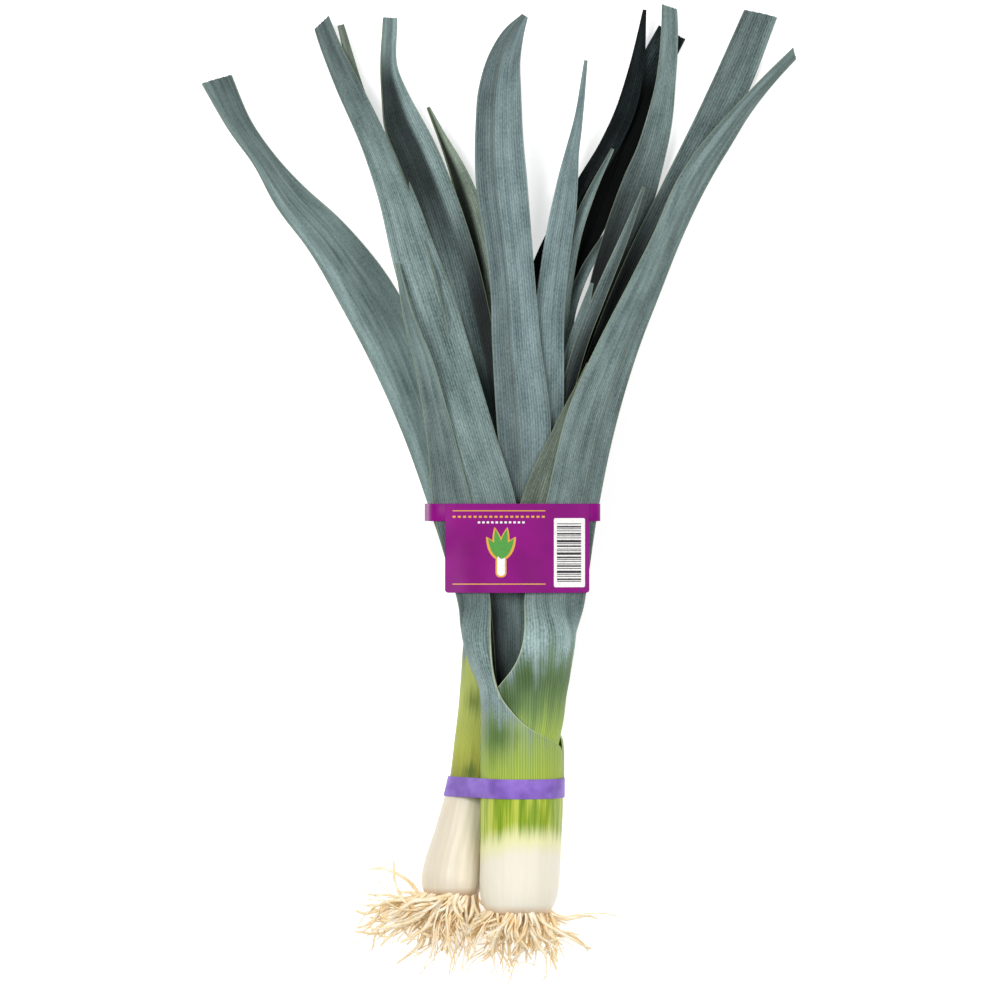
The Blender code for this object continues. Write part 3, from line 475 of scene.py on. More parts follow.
def vein_colour(tree, look):
    """The leaf's colour from its parallel veins, streaks, blotches of wax and grain."""
    uv = add_node(tree, "UVMap", uv_map="veins")
    drawn = add_node(tree, "Mapping", {"Vector": uv, "Scale": (1, VEIN_STRETCH, 1)})
    veins = add_node(tree, "TexWave", {
        "Vector": drawn, "Scale": 2 * math.pi / (20 * VEIN_SPACING), "Distortion": 3.5, "Detail": 2.0,
        "Detail Scale": 1.2}, bands_direction="X").outputs["Fac"]
    streaks = drawn_noise(tree, uv, *STREAK, 3.0)
    bloom = drawn_noise(tree, uv, BLOOM_PATCH, 3 * BLOOM_PATCH, 6.0)
    grain = drawn_noise(tree, uv, GRAIN, 2 * GRAIN, 2.0)
    part = add_node(tree, "Math", {0: veins, 1: 0.09}, operation="MULTIPLY")
    for layer, weight in ((streaks, 0.30), (bloom, 0.33), (grain, 0.28)):
        part = add_node(tree, "Math", {0: layer, 1: weight, 2: part}, operation="MULTIPLY_ADD")
    colour = add_node(tree, "ValToRGB", {"Fac": part}, stops=[
        (0.36, look["dark"]), (0.5, look["mid"]), (0.64, look["light"])])
    return colour, veins, streaks, bloom


def leaf_finish(tree, shader, colour, margin, veins, streaks, edge_width, edge_strength):
    """The tone of painted shade and light, the keel's thin pale and brown line, the thin pale edge, and low
    ribs along the veins.
    """
    tone, keel, edge = (
        add_node(tree, "Attribute", attribute_name=label).outputs["Fac"]
        for label in ("tone", "keel_mm", "edge_mm"))
    # The colour is scaled by the tone, which paints in shade and light.
    colour = add_node(tree, "VectorMath", {0: colour, "Scale": tone}, operation="SCALE")
    for near, far, strength, tint in KEEL_LINES:
        line = add_node(tree, "MapRange", {
            "Value": keel, "From Min": near, "From Max": far, "To Min": strength, "To Max": 0.0})
        line = add_node(tree, "Math", {0: line, 1: streaks}, operation="MULTIPLY")
        colour = add_node(tree, "Mix", {"Factor": line, 6: colour, 7: srgb(tint)},
                          data_type="RGBA")
    rim = add_node(tree, "MapRange", {
        "Value": edge, "From Min": 0.1 * edge_width, "From Max": edge_width,
        "To Min": edge_strength, "To Max": 0.0})
    colour = add_node(tree, "Mix", {"Factor": rim, 6: colour, 7: margin}, data_type="RGBA")
    ribs = add_node(tree, "Math", {0: streaks, 1: 2.0, 2: veins}, operation="MULTIPLY_ADD")
    coat(tree, shader, colour, ribs, 0.25, 0.0004)


def finish_piece(piece, name, mat, *nodes):
    """Names a finished piece, gives it its material and puts it in place of its CAD nodes."""
    piece.name = name
    piece.data.name = name
    piece.data.materials.clear()
    piece.data.materials.append(mat)
    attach(piece, "root")
    if nodes:
        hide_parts(*nodes)


leaf_materials = {}
for look_name, look in LEAF_LOOKS.items():
    mat, tree, shader = new_material(f"leek_leaf_{look_name}", Roughness=0.55, IOR=1.42,
                                     Specular_IOR_Level=look["shine"])
    colour, veins, streaks, _ = vein_colour(tree, look)
    leaf_finish(tree, shader, colour, srgb(look["margin"]), veins, streaks, *MARGIN)
    leaf_materials[look_name] = mat

for name, leaf in BLADES.items():
    sink = NECK_SINK if name.startswith("front") else 0.0
    piece = leaf_sheet(*blade_surface(name, leaf, BLADE_COLUMNS, sink), BLADE_THICKNESS)
    finish_piece(piece, f"scene_{name}", leaf_materials[leaf.get("look", "waxy")], name)


# Outer leaves with their sheaths
# The outermost leaves wrap the shank as closed sheaths at the rubber band. Higher up each sheath
# opens along a pale margin and passes into its blade. They have grown and aren't fastened.
SHEATH_COLUMNS = 56
SHEATH_STEP = 1.0
SHEATH_THICKNESS = 0.9
SHEATH_EASED = 2.2  # mm along Y over which the sections are evened out
LAP = 0.02  # the share of its radius by which one margin lies inside the other
BRIDGE_ROWS = 10
JOINT_EASED = 3.0
VEIN_GIRTH = 20.0  # the radius at which the veins' places round a sheath are counted
FAR_FROM_KEEL = 20.0
BACK_AXIS = [(-149.0, -16.2, 13.7), (-138.5, -13.6, 13.5), (-124.5, -12.2, 12.0),
             (-104.5, -9.8, 11.4), (-90.0, -9.0, 11.4), (-70.0, -7.5, 11.4)]
FRONT_AXIS = [(-149.0, 10.8, 32.0), (-138.5, 10.9, 34.2), (-124.5, 10.9, 35.4),
              (-104.5, 11.1, 36.4), (-90.0, 11.0, 36.6), (-80.0, 10.0, 36.4), (-70.0, 9.2, 36.0)]

INNER_AXIS = [(-149.0, 10.8, 32.0), (-138.5, 10.9, 34.2), (-126.0, 11.0, 35.3), (-118.0, 11.6, 35.7),
              (-110.0, 12.4, 36.1), (-90.0, 12.6, 36.6), (-80.0, 11.8, 36.4), (-69.0, 10.9, 36.0)]

# Sections up each sheath: y, half width, half height, and the angles of its left and right margin.
OUTER_LEAVES = {
    "back_leaf_outer": dict(
        axis=BACK_AXIS, look="yellowed", seed=21,
        sections=[
            (-145.0, 11.0, 11.0, 361, -1), (-132.0, 10.7, 10.7, 361, -1), (-118.0, 10.6, 10.6, 340, 8),
            (-104.5, 10.6, 10.6, 300, 30), (-90.0, 10.2, 10.2, 262, 60), (-76.0, 10.4, 10.0, 240, 74)],
        path=[(-14.5, -50, 13), (-24.5, -8, 18.5), (-39.5, 42, 24), (-53.5, 77.5, 28),
              (-67, 103, 28), (-87, 132, 22.5), (-106, 153, 17), (-119, 171.5, 11.5), (-130, 187, 12),
              (-143, 212.5, 15.5)],
        fold=(0.3, 0.15, 0.35), cut=-3, rib=0.5, tone=(1.25, 0.9), low_tone=(1.6, 1.4),
        ends=(1.0, 0.75), shade=(50, 110)),
    "front_leaf_right": dict(
        axis=INNER_AXIS, look="inner", seed=22,
        sections=[
            (-145.0, 17.1, 17.1, 180, -180), (-126.0, 17.1, 17.1, 180, -180), (-118.0, 17.9, 17.1, 176, -160),
            (-110.0, 19.0, 17.1, 172, -130), (-98.0, 20.2, 17.3, 144, -80), (-92.5, 21.2, 17.2, 128, -58),
            (-85.0, 22.9, 17.6, 106, -36), (-78.0, 24.8, 17.0, 95, -20), (-69.0, 27.0, 16.2, 88, -8)],
        path=[(27.5, -46.5, 30), (36, -1.5, 26), (46.5, 44, 24.5), (58, 74.5, 20), (73.5, 109, 16),
              (82, 128, 14), (95.5, 157.5, 14.5), (103, 170, 13.5), (111.5, 182, 11.5),
              (120.5, 194, 8.5), (136, 212, 6), (148.5, 225, 5)],
        fold=(0.7, 0.2, 0.6), cut=-4, tone=(1.0, 0.9), ends=(0.82, 0.95), rib=0.75,
        pale=(1.7, -92, -70)),
    "front_leaf_left": dict(
        axis=FRONT_AXIS, look="outer", seed=23,
        sections=[
            (-145.0, 20.2, 20.2, 361, -1), (-134.0, 20.2, 20.2, 361, -1), (-123.0, 20.2, 20.2, 356, 5),
            (-119.5, 20.2, 20.2, 348, 44), (-116.0, 20.2, 20.2, 335, 67), (-112.0, 20.2, 20.2, 315, 86),
            (-105.0, 20.2, 20.2, 272, 105), (-98.0, 20.4, 20.1, 226, 122), (-92.0, 21.2, 19.8, 206, 129),
            (-84.0, 24.4, 19.0, 196, 126), (-70.0, 27.2, 17.6, 190, 121)],
        path=[(-13.5, -46.5, 16.5), (-24, -1.5, 19), (-28.5, 25, 14.5), (-33, 47.5, 11.5),
              (-38.5, 70, 9), (-44.5, 87.5, 6), (-51.5, 119, 1.6)],
        fold=(0.5, 0.25, 0.25), tone=(0.9, 1.0), ends=(0.68, 1.0), pale=(1.35, -118, -100)),
}


def sheath_surface(leaf):
    """Rows round a sheath, from under the rubber band to the neck, with the same six values."""
    given = np.array(leaf["sections"], float)
    ys = np.arange(given[0, 0], given[-1, 0] + 0.1, SHEATH_STEP)
    parts = np.stack([np.interp(ys, given[:, 0], column) for column in given.T[1:]], axis=1)
    half_width, half_height, left, right = softened(parts, ys, SHEATH_EASED).T[..., None]
    axis = np.array(leaf["axis"])
    x, z = (np.interp(ys, axis[:, 0], axis[:, k])[:, None] for k in (1, 2))
    u = np.linspace(0, 1, SHEATH_COLUMNS + 1)
    turn = np.radians(left + (right - left) * u)
    lap = 1 - LAP * (2 * u - 1)
    pale, pale_from, pale_full = leaf.get("pale", (1.0, 0.0, 1.0))
    same = np.ones_like(turn)
    y = ys[:, None] * same
    # Painted light: the colour's factor rises over "pale" on the sheath's upper part, carried as the tone
    # like the blades' painted shade.
    light = 1 + (pale - 1) * eased((y - pale_from) / (pale_full - pale_from))
    return np.stack([x + half_width * lap * np.cos(turn), y, z + half_height * lap * np.sin(turn),
                     VEIN_GIRTH * turn, light, FAR_FROM_KEEL * same], axis=2)


def joined_rows(sheath, blade):
    """One even run of rows: the sheath, a smooth passage, then the blade."""
    blade[..., 3] = sheath[-1, :, 3]
    start, end = sheath[-1], blade[0]
    rise, run = (sheath[-1] - sheath[-6]) / 5, (blade[3] - blade[0]) / (3 * ROW_STEP)
    rise[:, 3:], run[:, 3:] = 0, 0
    gap = np.linalg.norm((end - start)[:, :3], axis=1).mean()
    bridge = [curve_between(t, start, end, gap * rise, gap * run)
              for t in np.linspace(0, 1, BRIDGE_ROWS + 2)[1:-1]]
    rows = np.concatenate([sheath, bridge, blade])
    middle = rows[:, rows.shape[1] // 2, :3]
    along = np.r_[0, np.cumsum(np.linalg.norm(np.diff(middle, axis=0), axis=1))]
    even = np.linspace(0, along[-1], round(along[-1] / ROW_STEP) + 1)
    k = np.clip(np.searchsorted(along, even) - 1, 0, len(along) - 2)
    t = ((even - along[k]) / (along[k + 1] - along[k]))[:, None, None]
    return softened(rows[k] + (rows[k + 1] - rows[k]) * t, even, JOINT_EASED), even


# The same leaf lower down, where less and less light reached it: to the eye a fresh yellow green that
# turns grass green and then grey with wax, in streaks along the veins. "rise" holds the places in mm
# along Y and their colours, "wax" where the wax sets in, and "patches" dark green places as x, y
# and half sizes, most of them bare leaf; on the back sheath the lower one is a painted shadow beside
# the rubber band. "slant" is how much lower a colour lies for each mm to the right.
SHEATH_LOOKS = {
    "outer": dict(LEAF_LOOKS["waxy"], rim="#D3DBB4", slant=0.1, wax=(-116, -100), patch="#48672F", rise=[
        (-150, "#A9BC46"), (-138, "#9FB44C"), (-128, "#98AE55"), (-120, "#8EA464"), (-110, "#8A9A7C"),
        (-100, "#84948A")], patches=[(-1.0, -116.0, 10.0, 19.0)]),
    "inner": dict(LEAF_LOOKS["waxy"], rim="#C3CDA2", slant=0.3, wax=(-98, -76), patch="#40582F", rise=[
        (-150, "#A6BB50"), (-124, "#9DB353"), (-117, "#8AA257"), (-108, "#6C8650"), (-98, "#5A714B"),
        (-80, "#5A6D57")], patches=[(14.0, -82.0, 12.0, 15.0), (3.0, -101.0, 9.0, 10.0)]),
    "yellowed": dict(LEAF_LOOKS["waxy"], rim="#B9C07A", slant=0.2, wax=(-80, -66), patch="#5F7432", rise=[
        (-150, "#77752F"), (-138, "#8C8E3B"), (-120, "#B0B654"), (-108, "#AAB45A"), (-98, "#B4BD66"),
        # The second patch, next to the band, is a painted shadow.
        (-84, "#A9B564")], patches=[(-13.0, -101.0, 5.0, 9.0), (-15.0, -136.0, 6.0, 6.0)]),
}
STREAK_PULL, BLOOM_PULL = 0.03, 0.04  # m by which streaks and blotches shift a colour along Y
RIM = (0.7, 0.7)
RIM_END = (-0.075, -0.05)  # m along Y, where a sheath's pale rim passes into the blade's margin


def sheath_material(name, look):
    """Leaf skin whose colours change along the sheath."""
    mat, tree, shader = new_material(f"leek_sheath_{name}", Roughness=0.5, IOR=1.42,
                                     Specular_IOR_Level=look["shine"])
    waxed, veins, streaks, bloom = vein_colour(tree, look)
    place = add_node(tree, "TexCoord").outputs["Object"]
    axes = add_node(tree, "SeparateXYZ", {"Vector": place}).outputs
    y = add_node(tree, "Math", {0: axes["X"], 1: -look["slant"], 2: axes["Y"]}, operation="MULTIPLY_ADD")
    y = add_node(tree, "Math", {0: streaks, 1: STREAK_PULL, 2: y}, operation="MULTIPLY_ADD")
    low, high = (look["rise"][k][0] * MM for k in (0, -1))
    up = add_node(tree, "MapRange", {
        "Value": y, "From Min": low + STREAK_PULL / 2, "From Max": high + STREAK_PULL / 2})
    fresh = add_node(tree, "ValToRGB", {"Fac": up}, stops=[
        ((at * MM - low) / (high - low), code) for at, code in look["rise"]])
    mottle = add_node(tree, "Math", {0: bloom, 1: 0.5, 2: streaks}, operation="MULTIPLY_ADD")
    # Dark patches: bare green leaf, and on the back sheath one painted shadow.
    for px, py, half_x, half_y in look["patches"]:
        off = add_node(tree, "Mapping", {
            "Vector": place, "Location": (-px / half_x, -py / half_y, 0),
            "Scale": (1 / (half_x * MM), 1 / (half_y * MM), 0)})
        far = add_node(tree, "VectorMath", {0: off}, operation="LENGTH")
        far = add_node(tree, "Math", {0: mottle, 1: 1.8, 2: far}, operation="MULTIPLY_ADD")
        bare_and_shadow = add_node(tree, "MapRange", {
            "Value": far, "From Min": 1.3, "From Max": 2.5, "To Min": 0.85, "To Max": 0.0},
            interpolation_type="SMOOTHSTEP")
        fresh = add_node(tree, "Mix", {"Factor": bare_and_shadow, 6: fresh, 7: srgb(look["patch"])},
                         data_type="RGBA")
    lines = add_node(tree, "MapRange", {
        "Value": veins, "From Min": 0.2, "From Max": 0.9, "To Min": 0.9, "To Max": 1.22})
    fresh = add_node(tree, "VectorMath", {0: fresh, "Scale": lines}, operation="SCALE")
    patchy = add_node(tree, "Math", {0: bloom, 1: BLOOM_PULL, 2: y}, operation="MULTIPLY_ADD")
    wax_from, wax_to = (at * MM + (STREAK_PULL + BLOOM_PULL) / 2 for at in look["wax"])
    wax = add_node(tree, "MapRange", {"Value": patchy, "From Min": wax_from, "From Max": wax_to},
                   interpolation_type="SMOOTHSTEP")
    colour = add_node(tree, "Mix", {"Factor": wax, 6: fresh, 7: waxed}, data_type="RGBA")
    up_leaf = add_node(tree, "MapRange", {
        "Value": axes["Y"], "From Min": RIM_END[0], "From Max": RIM_END[1]})
    rim = add_node(tree, "Mix", {"Factor": up_leaf, 6: srgb(look["rim"]), 7: srgb(look["margin"])},
                   data_type="RGBA")
    leaf_finish(tree, shader, colour, rim, veins, streaks, *RIM)
    return mat


for name, leaf in OUTER_LEAVES.items():
    blade, _ = blade_surface(name, leaf, SHEATH_COLUMNS)
    piece = leaf_sheet(*joined_rows(sheath_surface(leaf), blade), SHEATH_THICKNESS)
    finish_piece(piece, f"scene_{name}", sheath_material(leaf["look"], SHEATH_LOOKS[leaf["look"]]), name)


# Shanks
# The white stems, blanched under the soil: leaf sheaths wrapped so tightly that they look like one
# smooth stem, faintly ribbed lengthwise, and rounded in to the root plate.
SHANK_SIDES = 96
SHANK_STEP = 1.5
SHANK_RIBS = ((23, 0.05, 0.0), (7, 0.10, 0.02), (3, 0.15, 0.03))  # how many, how high, turn for each mm
BACK_SHANK = [
    (-24.0, -199.2, 14.0, 10.0), (-24.0, -198.2, 14.1, 12.3), (-24.0, -196.0, 14.5, 14.1),
    (-24.0, -192.0, 15.0, 15.1), (-23.7, -186.0, 14.9, 15.1), (-22.8, -179.0, 14.2, 14.4),
    (-19.6, -165.5, 13.6, 13.0),
    (-16.2, -149.0, 13.7, 11.6), (-15.0, -144.5, 13.6, 11.3), (-13.2, -130.0, 12.6, 8.8),
    (-11.0, -112.0, 11.7, 7.0)]
FRONT_SHANK = [
    (9.0, -207.0, 27.0, 11.5), (9.0, -205.6, 27.2, 15.0), (9.1, -202.8, 27.4, 17.4),
    (9.4, -198.0, 27.6, 19.1), (9.7, -191.0, 27.9, 19.9), (10.2, -180.0, 28.6, 20.1),
    (10.5, -165.0, 30.0, 20.4), (10.8, -149.0, 32.0, 20.6), (10.8, -144.0, 33.0, 20.3),
    (10.9, -130.0, 34.9, 15.0), (11.0, -112.0, 36.0, 12.0)]


def shank_body(stations, seed):
    """A sphere drawn out into the stem: one ring of it for each place along the smoothed stations."""
    line, _ = smooth_line([(y, z, radius) for x, y, z, radius in stations], SHANK_STEP)
    xs = np.interp(line[:, 0], [s[1] for s in stations], [s[0] for s in stations])
    rings = len(line) + 1
    bpy.ops.object.select_all(action="DESELECT")
    bpy.ops.mesh.primitive_uv_sphere_add(segments=SHANK_SIDES, ring_count=rings, radius=1.0)
    body = bpy.context.object
    mesh = body.data
    ball = vertex_places(mesh)
    ring = np.rint(np.arccos(np.clip(ball[:, 2], -1, 1)) / math.pi * rings).astype(int)
    turn = np.arctan2(ball[:, 1], ball[:, 0])
    row = np.clip(ring - 1, 0, len(line) - 1)
    y, z, out = line[row].T
    phases = np.random.default_rng(seed).uniform(0, 6.28, len(SHANK_RIBS))
    for (count, height, twist), phase in zip(SHANK_RIBS, phases):
        out = out + height * np.sin(count * turn + phase + y * twist)
    out = np.where((ring == 0) | (ring == rings), 0.0, out)
    place_vertices(mesh, np.stack([
        xs[row] + out * np.cos(turn), y, np.maximum(z + out * np.sin(turn), 0.0)], axis=1))
    around = np.empty(len(mesh.loops) * 2)
    mesh.uv_layers[0].data.foreach_get("uv", around)
    map_veins(mesh, around[0::2] * 2 * math.pi * line[:, 2].max(), y[corner_vertices(mesh)])
    face_outwards(50)
    return body


# Blanched leek flesh: to the eye a moist cream white that lets a little light in, brown where the
# roots were. On the front shank the green runs down past the band in streaks of uneven length.
SHANK_LOOKS = {
    # The back shank's flesh is a darker copy of the front's: painted shade.
    "back": dict(white="#E7DDC8", cream="#DFD4BD", foot="#B5824F", foot_y=-198.5, green=None),
    "front": dict(white="#F3EDDC", cream="#F0E9D3", foot="#D6AE85", foot_y=-206.5,
                  green=((0.58, "#76981F"), (0.72, "#97AF2C"), (0.86, "#C3CC50"))),
}
YELLOW = "#EEECB4"
FOOT_HIGH = 5.0
FINE_RIBS, WIDE_RIBS = (0.7, 60.0), (3.4, 45.0)  # mm across and along the shank
GREEN_MIDDLE_X = 0.015
GREEN_BOW = 12.0  # 1/m by which the green ends higher to the sides
GREEN_PULL = ((1, -0.012), (0, -0.007))  # m by which wide and fine streaks draw it down
YELLOW_Y, GREEN_Y = (-0.187, -0.176), (-0.179, -0.168)


def shank_material(name, look):
    """Cream flesh with fine ribs, a brown foot and, where it has one, a green top."""
    mat, tree, shader = new_material(
        f"leek_shank_{name}", Roughness=0.36, IOR=1.4, Subsurface_Weight=0.12, Subsurface_Scale=0.004,
        Subsurface_Radius=(1.0, 0.8, 0.5))
    uv = add_node(tree, "UVMap", uv_map="veins")
    ribs = [drawn_noise(tree, uv, *size, 3.0) for size in (FINE_RIBS, WIDE_RIBS)]
    tone = add_node(tree, "Math", {0: ribs[0], 1: 0.5, 2: ribs[1]}, operation="MULTIPLY_ADD")
    flesh = add_node(tree, "ValToRGB", {"Fac": tone}, stops=[(0.5, look["cream"]), (0.9, look["white"])])
    axes = add_node(tree, "SeparateXYZ", {"Vector": add_node(tree, "TexCoord").outputs["Object"]}).outputs
    foot = add_node(tree, "MapRange", {
        "Value": axes["Y"], "From Min": look["foot_y"] * MM, "From Max": (look["foot_y"] + FOOT_HIGH) * MM,
        "To Min": 0.8, "To Max": 0.0})
    flesh = add_node(tree, "Mix", {"Factor": foot, 6: flesh, 7: srgb(look["foot"])},
                     data_type="RGBA")
    if look["green"]:
        aside = add_node(tree, "Math", {0: axes["X"], 1: GREEN_MIDDLE_X}, operation="SUBTRACT")
        aside = add_node(tree, "Math", {0: aside, 1: aside}, operation="MULTIPLY")
        reach = add_node(tree, "Math", {0: aside, 1: GREEN_BOW, 2: axes["Y"]}, operation="MULTIPLY_ADD")
        for k, pull in GREEN_PULL:
            reach = add_node(tree, "Math", {0: ribs[k], 1: pull, 2: reach}, operation="MULTIPLY_ADD")
        stripes = add_node(tree, "ValToRGB", {"Fac": tone}, stops=look["green"])
        for (start, full), colour in ((YELLOW_Y, srgb(YELLOW)), (GREEN_Y, stripes)):
            tint = add_node(tree, "MapRange", {"Value": reach, "From Min": start, "From Max": full},
                            interpolation_type="SMOOTHSTEP")
            flesh = add_node(tree, "Mix", {"Factor": tint, 6: flesh, 7: colour}, data_type="RGBA")
    coat(tree, shader, flesh, ribs[0], 0.25, 0.0004)
    return mat


for name, stations, seed in (("back", BACK_SHANK, 31), ("front", FRONT_SHANK, 32)):
    piece = shank_body(stations, seed)
    finish_piece(piece, f"scene_{name}_shank", shank_material(name, SHANK_LOOKS[name]), f"{name}_shank")


# Roots
# A tuft of cream roots, each a millimetre or two thick, springs from the flat root plate under each
# shank. They dried as they were pulled, bent to one side and tangled, with hair roots between them.
TUFTS = {
    "back": dict(
        centre=(-24.0, -198.6, 14.2), plate=13.0, fan=(-186, -90), length=(14, 52), wall=-1, seed=7),
    "front": dict(
        centre=(9.5, -206.0, 27.0), plate=15.0, fan=(-150, -30), length=(14, 44), wall=1, seed=21),
}
THICK_ROOTS = 165
HAIR_ROOTS = 34
ROOT_STEP = 2.0  # mm between two points of a root
SAG = 0.05  # how much a root bends down over one step
WANDER = (0.13, 0.11, 0.05)
LOWEST = 1.2  # the lowest that a root's middle line lies
PARTING = ((-9.0, -199.0), (-21.0, -244.0))
THICK_SHORTER, HAIR_SHORTER = 0.42, 0.1  # how much shorter the roots are that grow straight down
PLATE_FLAT = 0.22


def root_line(rng, tuft, length, shorter):
    """The middle line of one root: out of the plate, spreading, sagging to the table and along it."""
    cx, cy, cz = tuft["centre"]
    turn = rng.uniform(0, 2 * math.pi)
    out = math.sqrt(rng.uniform(0, 1))
    place = Vector((cx + out * tuft["plate"] * math.cos(turn), cy + 3.2 * out**3,
                    cz + out * tuft["plate"] * math.sin(turn)))
    left, right = tuft["fan"]
    share = 0.5 + 0.36 * out * math.cos(turn) + rng.gauss(0, 0.16)
    aim = math.radians(left + (right - left) * min(max(share, 0), 1))
    goal = Vector((math.cos(aim), math.sin(aim), 0))
    heading = Vector((0.8 * goal.x, -1.0, 0.55 * out * math.sin(turn) + rng.gauss(0, 0.1))).normalized()
    wander = Vector((0, 0, 0))
    points = [place - heading * ROOT_STEP]
    for k in range(round(length * (1 - shorter * (1 - abs(goal.x))) / ROOT_STEP)):
        wander = wander * 0.8 + Vector([rng.gauss(0, spread) for spread in WANDER])
        heading = (heading + 0.2 * goal + wander - Vector((0, 0, SAG))).normalized()
        place = place + heading * ROOT_STEP
        if place.z < LOWEST:
            place.z = LOWEST
            heading.z = abs(heading.z) * 0.3
        (ax, ay), (bx, by) = PARTING
        parting = ax + (bx - ax) * (place.y - ay) / (by - ay)
        if (place.x - parting) * tuft["wall"] < 0:
            place.x += (parting - place.x) * 0.35
        points.append(place.copy())
    return points


def grow_root(curve, line, radius, rng):
    """One root as a tube that tapers and varies a little in thickness."""
    spline = curve.splines.new("POLY")
    spline.points.add(len(line) - 1)
    knob = rng.uniform(0, 6.28)
    for k, place in enumerate(line):
        t = k / (len(line) - 1)
        spline.points[k].co = (*(place * MM), 1)
        spline.points[k].radius = radius * (1.1 - 0.55 * t**2) * (1 + 0.1 * math.sin(1.9 * k + knob))


def join_pieces(pieces):
    """Joins pieces into the first of them."""
    bpy.ops.object.select_all(action="DESELECT")
    for piece in pieces:
        piece.select_set(True)
    bpy.context.view_layer.objects.active = pieces[0]
    bpy.ops.object.join()
    return bpy.context.object


def root_tuft(name, tuft):
    """All the roots of one shank as tubes, with the swollen plate that they spring from."""
    rng = random.Random(tuft["seed"])
    curve = bpy.data.curves.new(f"{name}_tuft", "CURVE")
    curve.dimensions = "3D"
    curve.bevel_depth = 1.0 * MM
    curve.bevel_resolution = 1
    curve.use_fill_caps = True
    shortest, longest = tuft["length"]
    for _ in range(THICK_ROOTS):
        length = shortest + (longest - shortest) * rng.uniform(0, 1) ** 1.6
        line = root_line(rng, tuft, length, THICK_SHORTER)
        grow_root(curve, line, 0.5 + 0.75 * rng.uniform(0, 1) ** 1.4, rng)
    for _ in range(HAIR_ROOTS):
        line = root_line(rng, tuft, rng.uniform(0.6, 1.1) * longest, HAIR_SHORTER)
        grow_root(curve, line, rng.uniform(0.32, 0.45), rng)
    strands = bpy.data.objects.new(f"{name}_tuft", curve)
    bpy.context.scene.collection.objects.link(strands)
    bpy.ops.object.select_all(action="DESELECT")
    strands.select_set(True)
    bpy.context.view_layer.objects.active = strands
    bpy.ops.object.convert(target="MESH")
    strands = bpy.context.object
    bpy.ops.mesh.primitive_uv_sphere_add(
        segments=48, ring_count=16, radius=tuft["plate"] * 0.8 * MM, location=Vector(tuft["centre"]) * MM,
        scale=(1, PLATE_FLAT, 1))
    tuft_piece = join_pieces([strands, bpy.context.object])
    bpy.ops.object.transform_apply(location=True, rotation=True, scale=True)
    bpy.ops.object.shade_smooth_by_angle(angle=math.radians(60))
    return tuft_piece


def mottled_coat(tree, shader, patch_mm, detail, stops, strength, distance):
    """A colour that wanders between its stops in patches of one size, with a low relief to match."""
    place = add_node(tree, "TexCoord").outputs["Object"]
    tone = add_node(tree, "TexNoise", {"Vector": place, "Scale": 1 / (patch_mm * MM), "Detail": detail})
    colour = add_node(tree, "ValToRGB", {"Fac": tone}, stops=stops)
    coat(tree, shader, colour, tone, strength, distance)


# Dry root skin: to the eye matt straw yellow and cream, uneven as it shrank, with light in the tips.
mat, tree, shader = new_material(
    "leek_root_skin", Roughness=0.72, IOR=1.4, Specular_IOR_Level=0.25, Subsurface_Weight=0.12,
    Subsurface_Scale=0.003, Subsurface_Radius=(1.0, 0.75, 0.45))
mottled_coat(tree, shader, 6.25, 4.0, [(0.34, "#F5D6A2"), (0.48, "#FDE7C0"), (0.62, "#FFF2DA")], 0.4, 0.0004)
for name, tuft in TUFTS.items():
    piece = root_tuft(name, tuft)
    finish_piece(piece, f"scene_{name}_roots", mat, f"{name}_roots")


# Rubber band
# A flat purple band cut from a rubber tube and stretched once round both shanks. Its cut edges are a
# little rounded, and it lies flat because it is taut.
BAND_Y = (-148.2, -138.4)
BAND_THICKNESS = 0.8
BAND_ROUND = 0.3
BAND_POINTS = 160
BAND_CIRCLES = ((BACK_AXIS, 11.6), (FRONT_AXIS, 20.65))


def band_loop(y):
    """The band's inner line at one place along Y: taut round both shanks."""
    circles = []
    for axis, radius in BAND_CIRCLES:
        ys, xs, zs = zip(*axis)
        circles.append((np.interp(y, ys, xs), np.interp(y, ys, zs), radius))
    loop = []
    for k in range(BAND_POINTS):
        turn = 2 * math.pi * (k + 0.5) / BAND_POINTS
        nx, nz = math.cos(turn), math.sin(turn)
        x, z, radius = max(circles, key=lambda c: c[0] * nx + c[1] * nz + c[2])
        loop.append((x + radius * nx, z + radius * nz))
    return loop


def loop_sheet(loops, ys, thickness, round_off):
    """A closed strap between two loops of (x, z) points, thickened outwards, its edges rounded."""
    count = len(loops[0])
    bpy.ops.object.select_all(action="DESELECT")
    bpy.ops.mesh.primitive_cylinder_add(vertices=count, end_fill_type="NOTHING", radius=1.0, depth=1.0)
    strap = bpy.context.object
    tube = vertex_places(strap.data)
    place = np.rint(np.arctan2(tube[:, 1], tube[:, 0]) / (2 * math.pi) * count).astype(int) % count
    ring = (tube[:, 2] > 0).astype(int)
    x, z = np.array(loops)[ring, place].T
    place_vertices(strap.data, np.stack([x, np.array(ys)[ring], z], axis=1))
    face_outwards()
    thicken(strap, thickness, 1.0)
    soften = strap.modifiers.new("edge", "BEVEL")
    soften.width = round_off * MM
    soften.segments = 2
    soften.limit_method = "ANGLE"
    soften.angle_limit = math.radians(50)
    bpy.ops.object.modifier_apply(modifier=soften.name)
    face_outwards(55)
    return strap


# Natural rubber, dyed through and sliced: to the eye a dull satin lilac that varies a little.
piece = loop_sheet([band_loop(y) for y in BAND_Y], BAND_Y, BAND_THICKNESS, BAND_ROUND)
mat, tree, shader = new_material("natural_rubber_purple", Roughness=0.5, IOR=1.52, Specular_IOR_Level=0.35)
mottled_coat(tree, shader, 8.333, 3.0, [(0.35, "#7854B2"), (0.65, "#9470D0")], 0.15, 0.0003)
finish_piece(piece, "scene_rubber_band", mat, "rubber_band")


